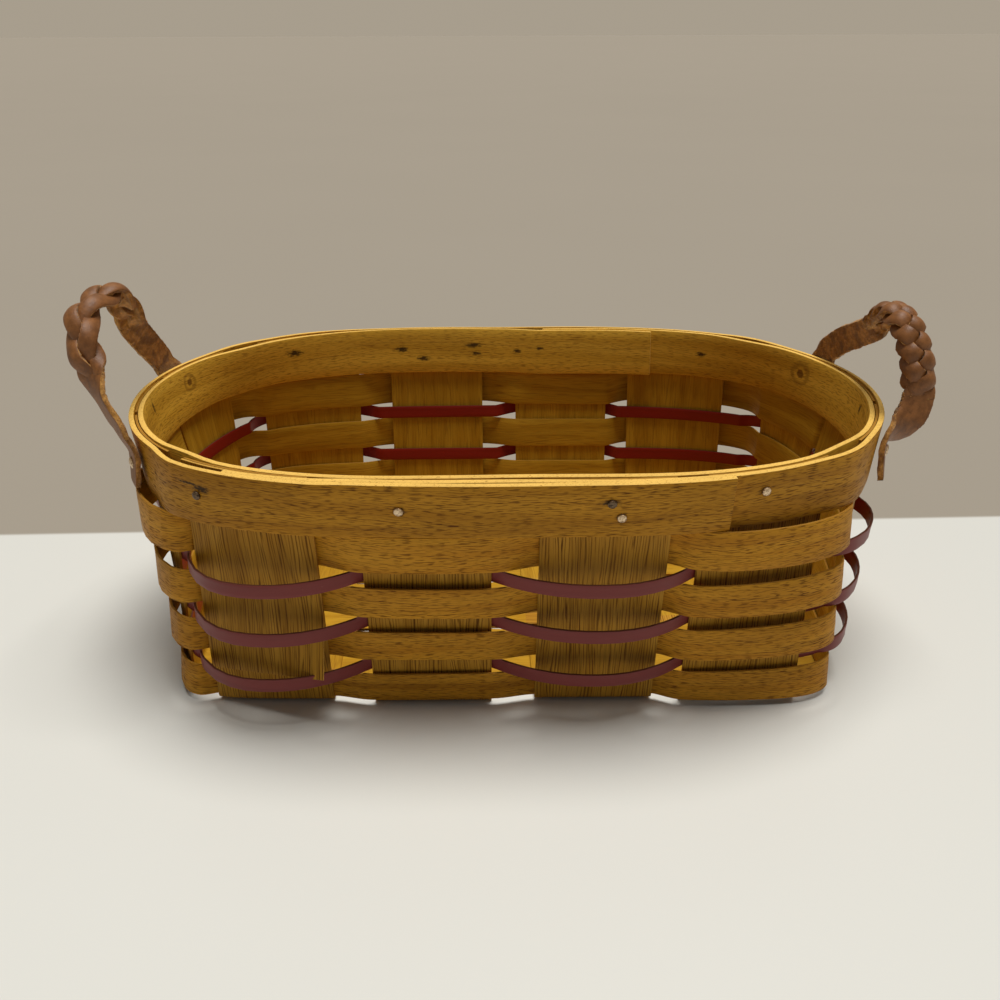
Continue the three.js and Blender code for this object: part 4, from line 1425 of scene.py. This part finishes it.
def roughened(piece):
    """Ruffles the suede: every corner that no grain-side face shares moves a little in or out."""
    mesh = piece.data
    smooth_side = {v for face in mesh.polygons if face.material_index == 0 for v in face.vertices}
    normals = [vertex.normal.copy() for vertex in mesh.vertices]
    for vertex, normal in zip(mesh.vertices, normals):
        if vertex.index not in smooth_side:
            vertex.co += normal * random.uniform(-1, 1) * NAP_ROUGHNESS * MM


def leather_piece(name, rows, grain_shift):
    """A strip of leather, smooth on its grain side and ruffled on the other side and the edges."""
    piece = laid_grid(name, rows, grain_shift)
    sides = (GRAIN_LEATHER, SUEDE_LEATHER)
    thickened(piece, STRAP_THICKNESS - STRAP_SHAVED, sides, STRAP_ROUNDING, other_side=1, even=False)
    roughened(piece)
    return piece


def add_strap(ear, end, name, frames):
    """One flat end of the strap, shaped from the tab over the ear's pivot line to the loop."""
    last = 0 if end == 0 else len(frames) - 1
    piece = leather_piece(name, strap_rows(frames, last), 60 + end + ear.side)
    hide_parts(f"{ear.name}_ear_{('front', 'back')[end]}_tab")
    pivot = (ear.front, ear.back)[end]
    reach = UP * HINGE_REACH
    placed(pivot - reach)
    placed(pivot + reach)
    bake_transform(piece)


def strand_rows(ear, strand):
    """One strand of the braid: it swings from side to side and passes over and under the others."""
    begin, stop, turns = EAR_BRAIDS[ear.name]
    begin -= SLIT_OVERLAP
    stop += SLIT_OVERLAP
    middles, frames = [], []
    for t in shares(STRAND_STEPS):
        point, _, across, facing = ear.place(lerp(begin, stop, t))
        swing = smooth(t / BRAID_TAPER) * smooth((1 - t) / BRAID_TAPER)
        phase = 2 * math.pi * (turns * t + (strand - 1) / STRANDS)
        last_phase = 2 * math.pi * (turns + (strand - 1) / STRANDS)
        last_slot = round(math.sin(last_phase) / math.sin(math.pi / 3))
        slot = lerp(strand - 1, last_slot, smooth((t - SLOT_CHANGE) / SLOT_CHANGE_LENGTH)) * SLIT_WIDTH
        side = lerp(slot, math.sin(phase) * BRAID_REACH, swing)
        depth = math.sin(2 * phase) * BRAID_DEPTH * swing
        middles.append(point + across * side + facing * depth)
        bank = STRAND_BANK * math.sin(phase) * swing
        frames.append((across, facing, bank, swing))
    rows = []
    for i, middle in enumerate(middles):
        along = (middles[min(i + 1, STRAND_STEPS)] - middles[max(i - 1, 0)]).normalized()
        across, facing, bank, swing = frames[i]
        normal = facing * math.cos(bank) + across * math.sin(bank)
        wide = normal.cross(along).normalized()
        normal = along.cross(wide)
        width = lerp(SLIT_WIDTH - SLIT_GAP, STRAND_WIDTH, swing)
        row = []
        for share in shares(STRAP_COLUMNS, -1, 1):
            crown = lerp(STRAP_CROWN, STRAND_CROWN, swing) * (1 - share * share)
            row.append(middle + wide * (share * width / 2) + normal * crown)
        rows.append(row)
    return rows


def add_ears():
    for name, side in (("left", -1), ("right", 1)):
        ear = Ear(name, side)
        begin, stop, _ = EAR_BRAIDS[name]
        front = ear.tab(0) + [ear.place(t) for t in shares(FRONT_STRAP_STEPS, 0, begin)]
        back = [ear.place(t) for t in shares(BACK_STRAP_STEPS, stop, 1)] + ear.tab(1)
        add_strap(ear, 0, f"{name}_ear_front_strap", front)
        add_strap(ear, 1, f"{name}_ear_back_strap", back)
        for strand in range(STRANDS):
            rows = strand_rows(ear, strand)
            piece = leather_piece(f"{name}_ear_strand_{strand + 1}", rows, 70 + strand + side)
            dressed(piece, f"{name}_ear", [f"{name}_ear_loop"] if strand == 0 else ())


# Floor, lamps and world.
FLOOR_SIZE = 60
FLOOR_TURNS_GREY = 0.0875
FLOOR_TURN_LENGTH = 0.004
FLOOR_PALE = rgb(0.7, 0.695, 0.65)
FLOOR_GREY = rgb(0.34, 0.3, 0.245)
FLOOR_ROUGHNESS = 0.28


def add_floor():
    """A pale table top that turns grey behind the basket."""
    bpy.ops.object.select_all(action="DESELECT")
    bpy.ops.mesh.primitive_plane_add(size=FLOOR_SIZE)
    floor = bpy.context.object
    floor.name = "floor"
    finish = Finish("floor_card", Specular_IOR_Level=0.35)
    place = finish.place()
    back = finish.node("SeparateXYZ", {}, {0: place}, output="Y")
    turned_grey = finish.step(back, FLOOR_TURNS_GREY, FLOOR_TURNS_GREY + FLOOR_TURN_LENGTH)
    cloud = finish.noise(place, 0.5, 0.5, 2)
    colour = finish.blend(turned_grey, FLOOR_PALE, FLOOR_GREY)
    floor.data.materials.append(finish.paint(finish.tint(colour, 0.97 + cloud * 0.06), FLOOR_ROUGHNESS))


WALL_GREY = rgb(0.39, 0.34, 0.268)
ROOM_LIGHT = rgb(0.12, 0.12, 0.12)
LAMP_STRENGTH = 3.2
LAMP_SPREAD = math.radians(34)
LAMP_COLOUR = (1, 0.985, 0.95)
LAMP_DIRECTION = Vector((0.1, 0.07, 1))


def light_scene():
    """One soft lamp high above, a little to the right and behind. The dim room is seen as a grey wall."""
    data = bpy.data.lights.new("ceiling_light", "SUN")
    data.energy = LAMP_STRENGTH
    data.angle = LAMP_SPREAD
    data.color = LAMP_COLOUR
    lamp = bpy.data.objects.new("ceiling_light", data)
    bpy.context.scene.collection.objects.link(lamp)
    lamp.rotation_euler = LAMP_DIRECTION.to_track_quat("Z", "Y").to_euler()
    world = bpy.data.worlds.new("room")
    bpy.context.scene.world = world
    world.use_nodes = True
    nodes = Nodes(world.node_tree)
    kinds = ("Camera", "Glossy", "Transmission")
    seen = sum(nodes.node("LightPath", output=f"Is {kind} Ray") for kind in kinds)
    colour = nodes.blend(seen, ROOM_LIGHT, WALL_GREY)
    nodes.join(nodes.tree.nodes["Background"].inputs["Color"], colour)
    bpy.context.scene.view_settings.view_transform = "Standard"


NAP_SEED = 7
random.seed(NAP_SEED)
add_stakes()
add_ply()
add_weavers()
add_bands()
add_nails()
add_ears()
add_floor()
light_scene()
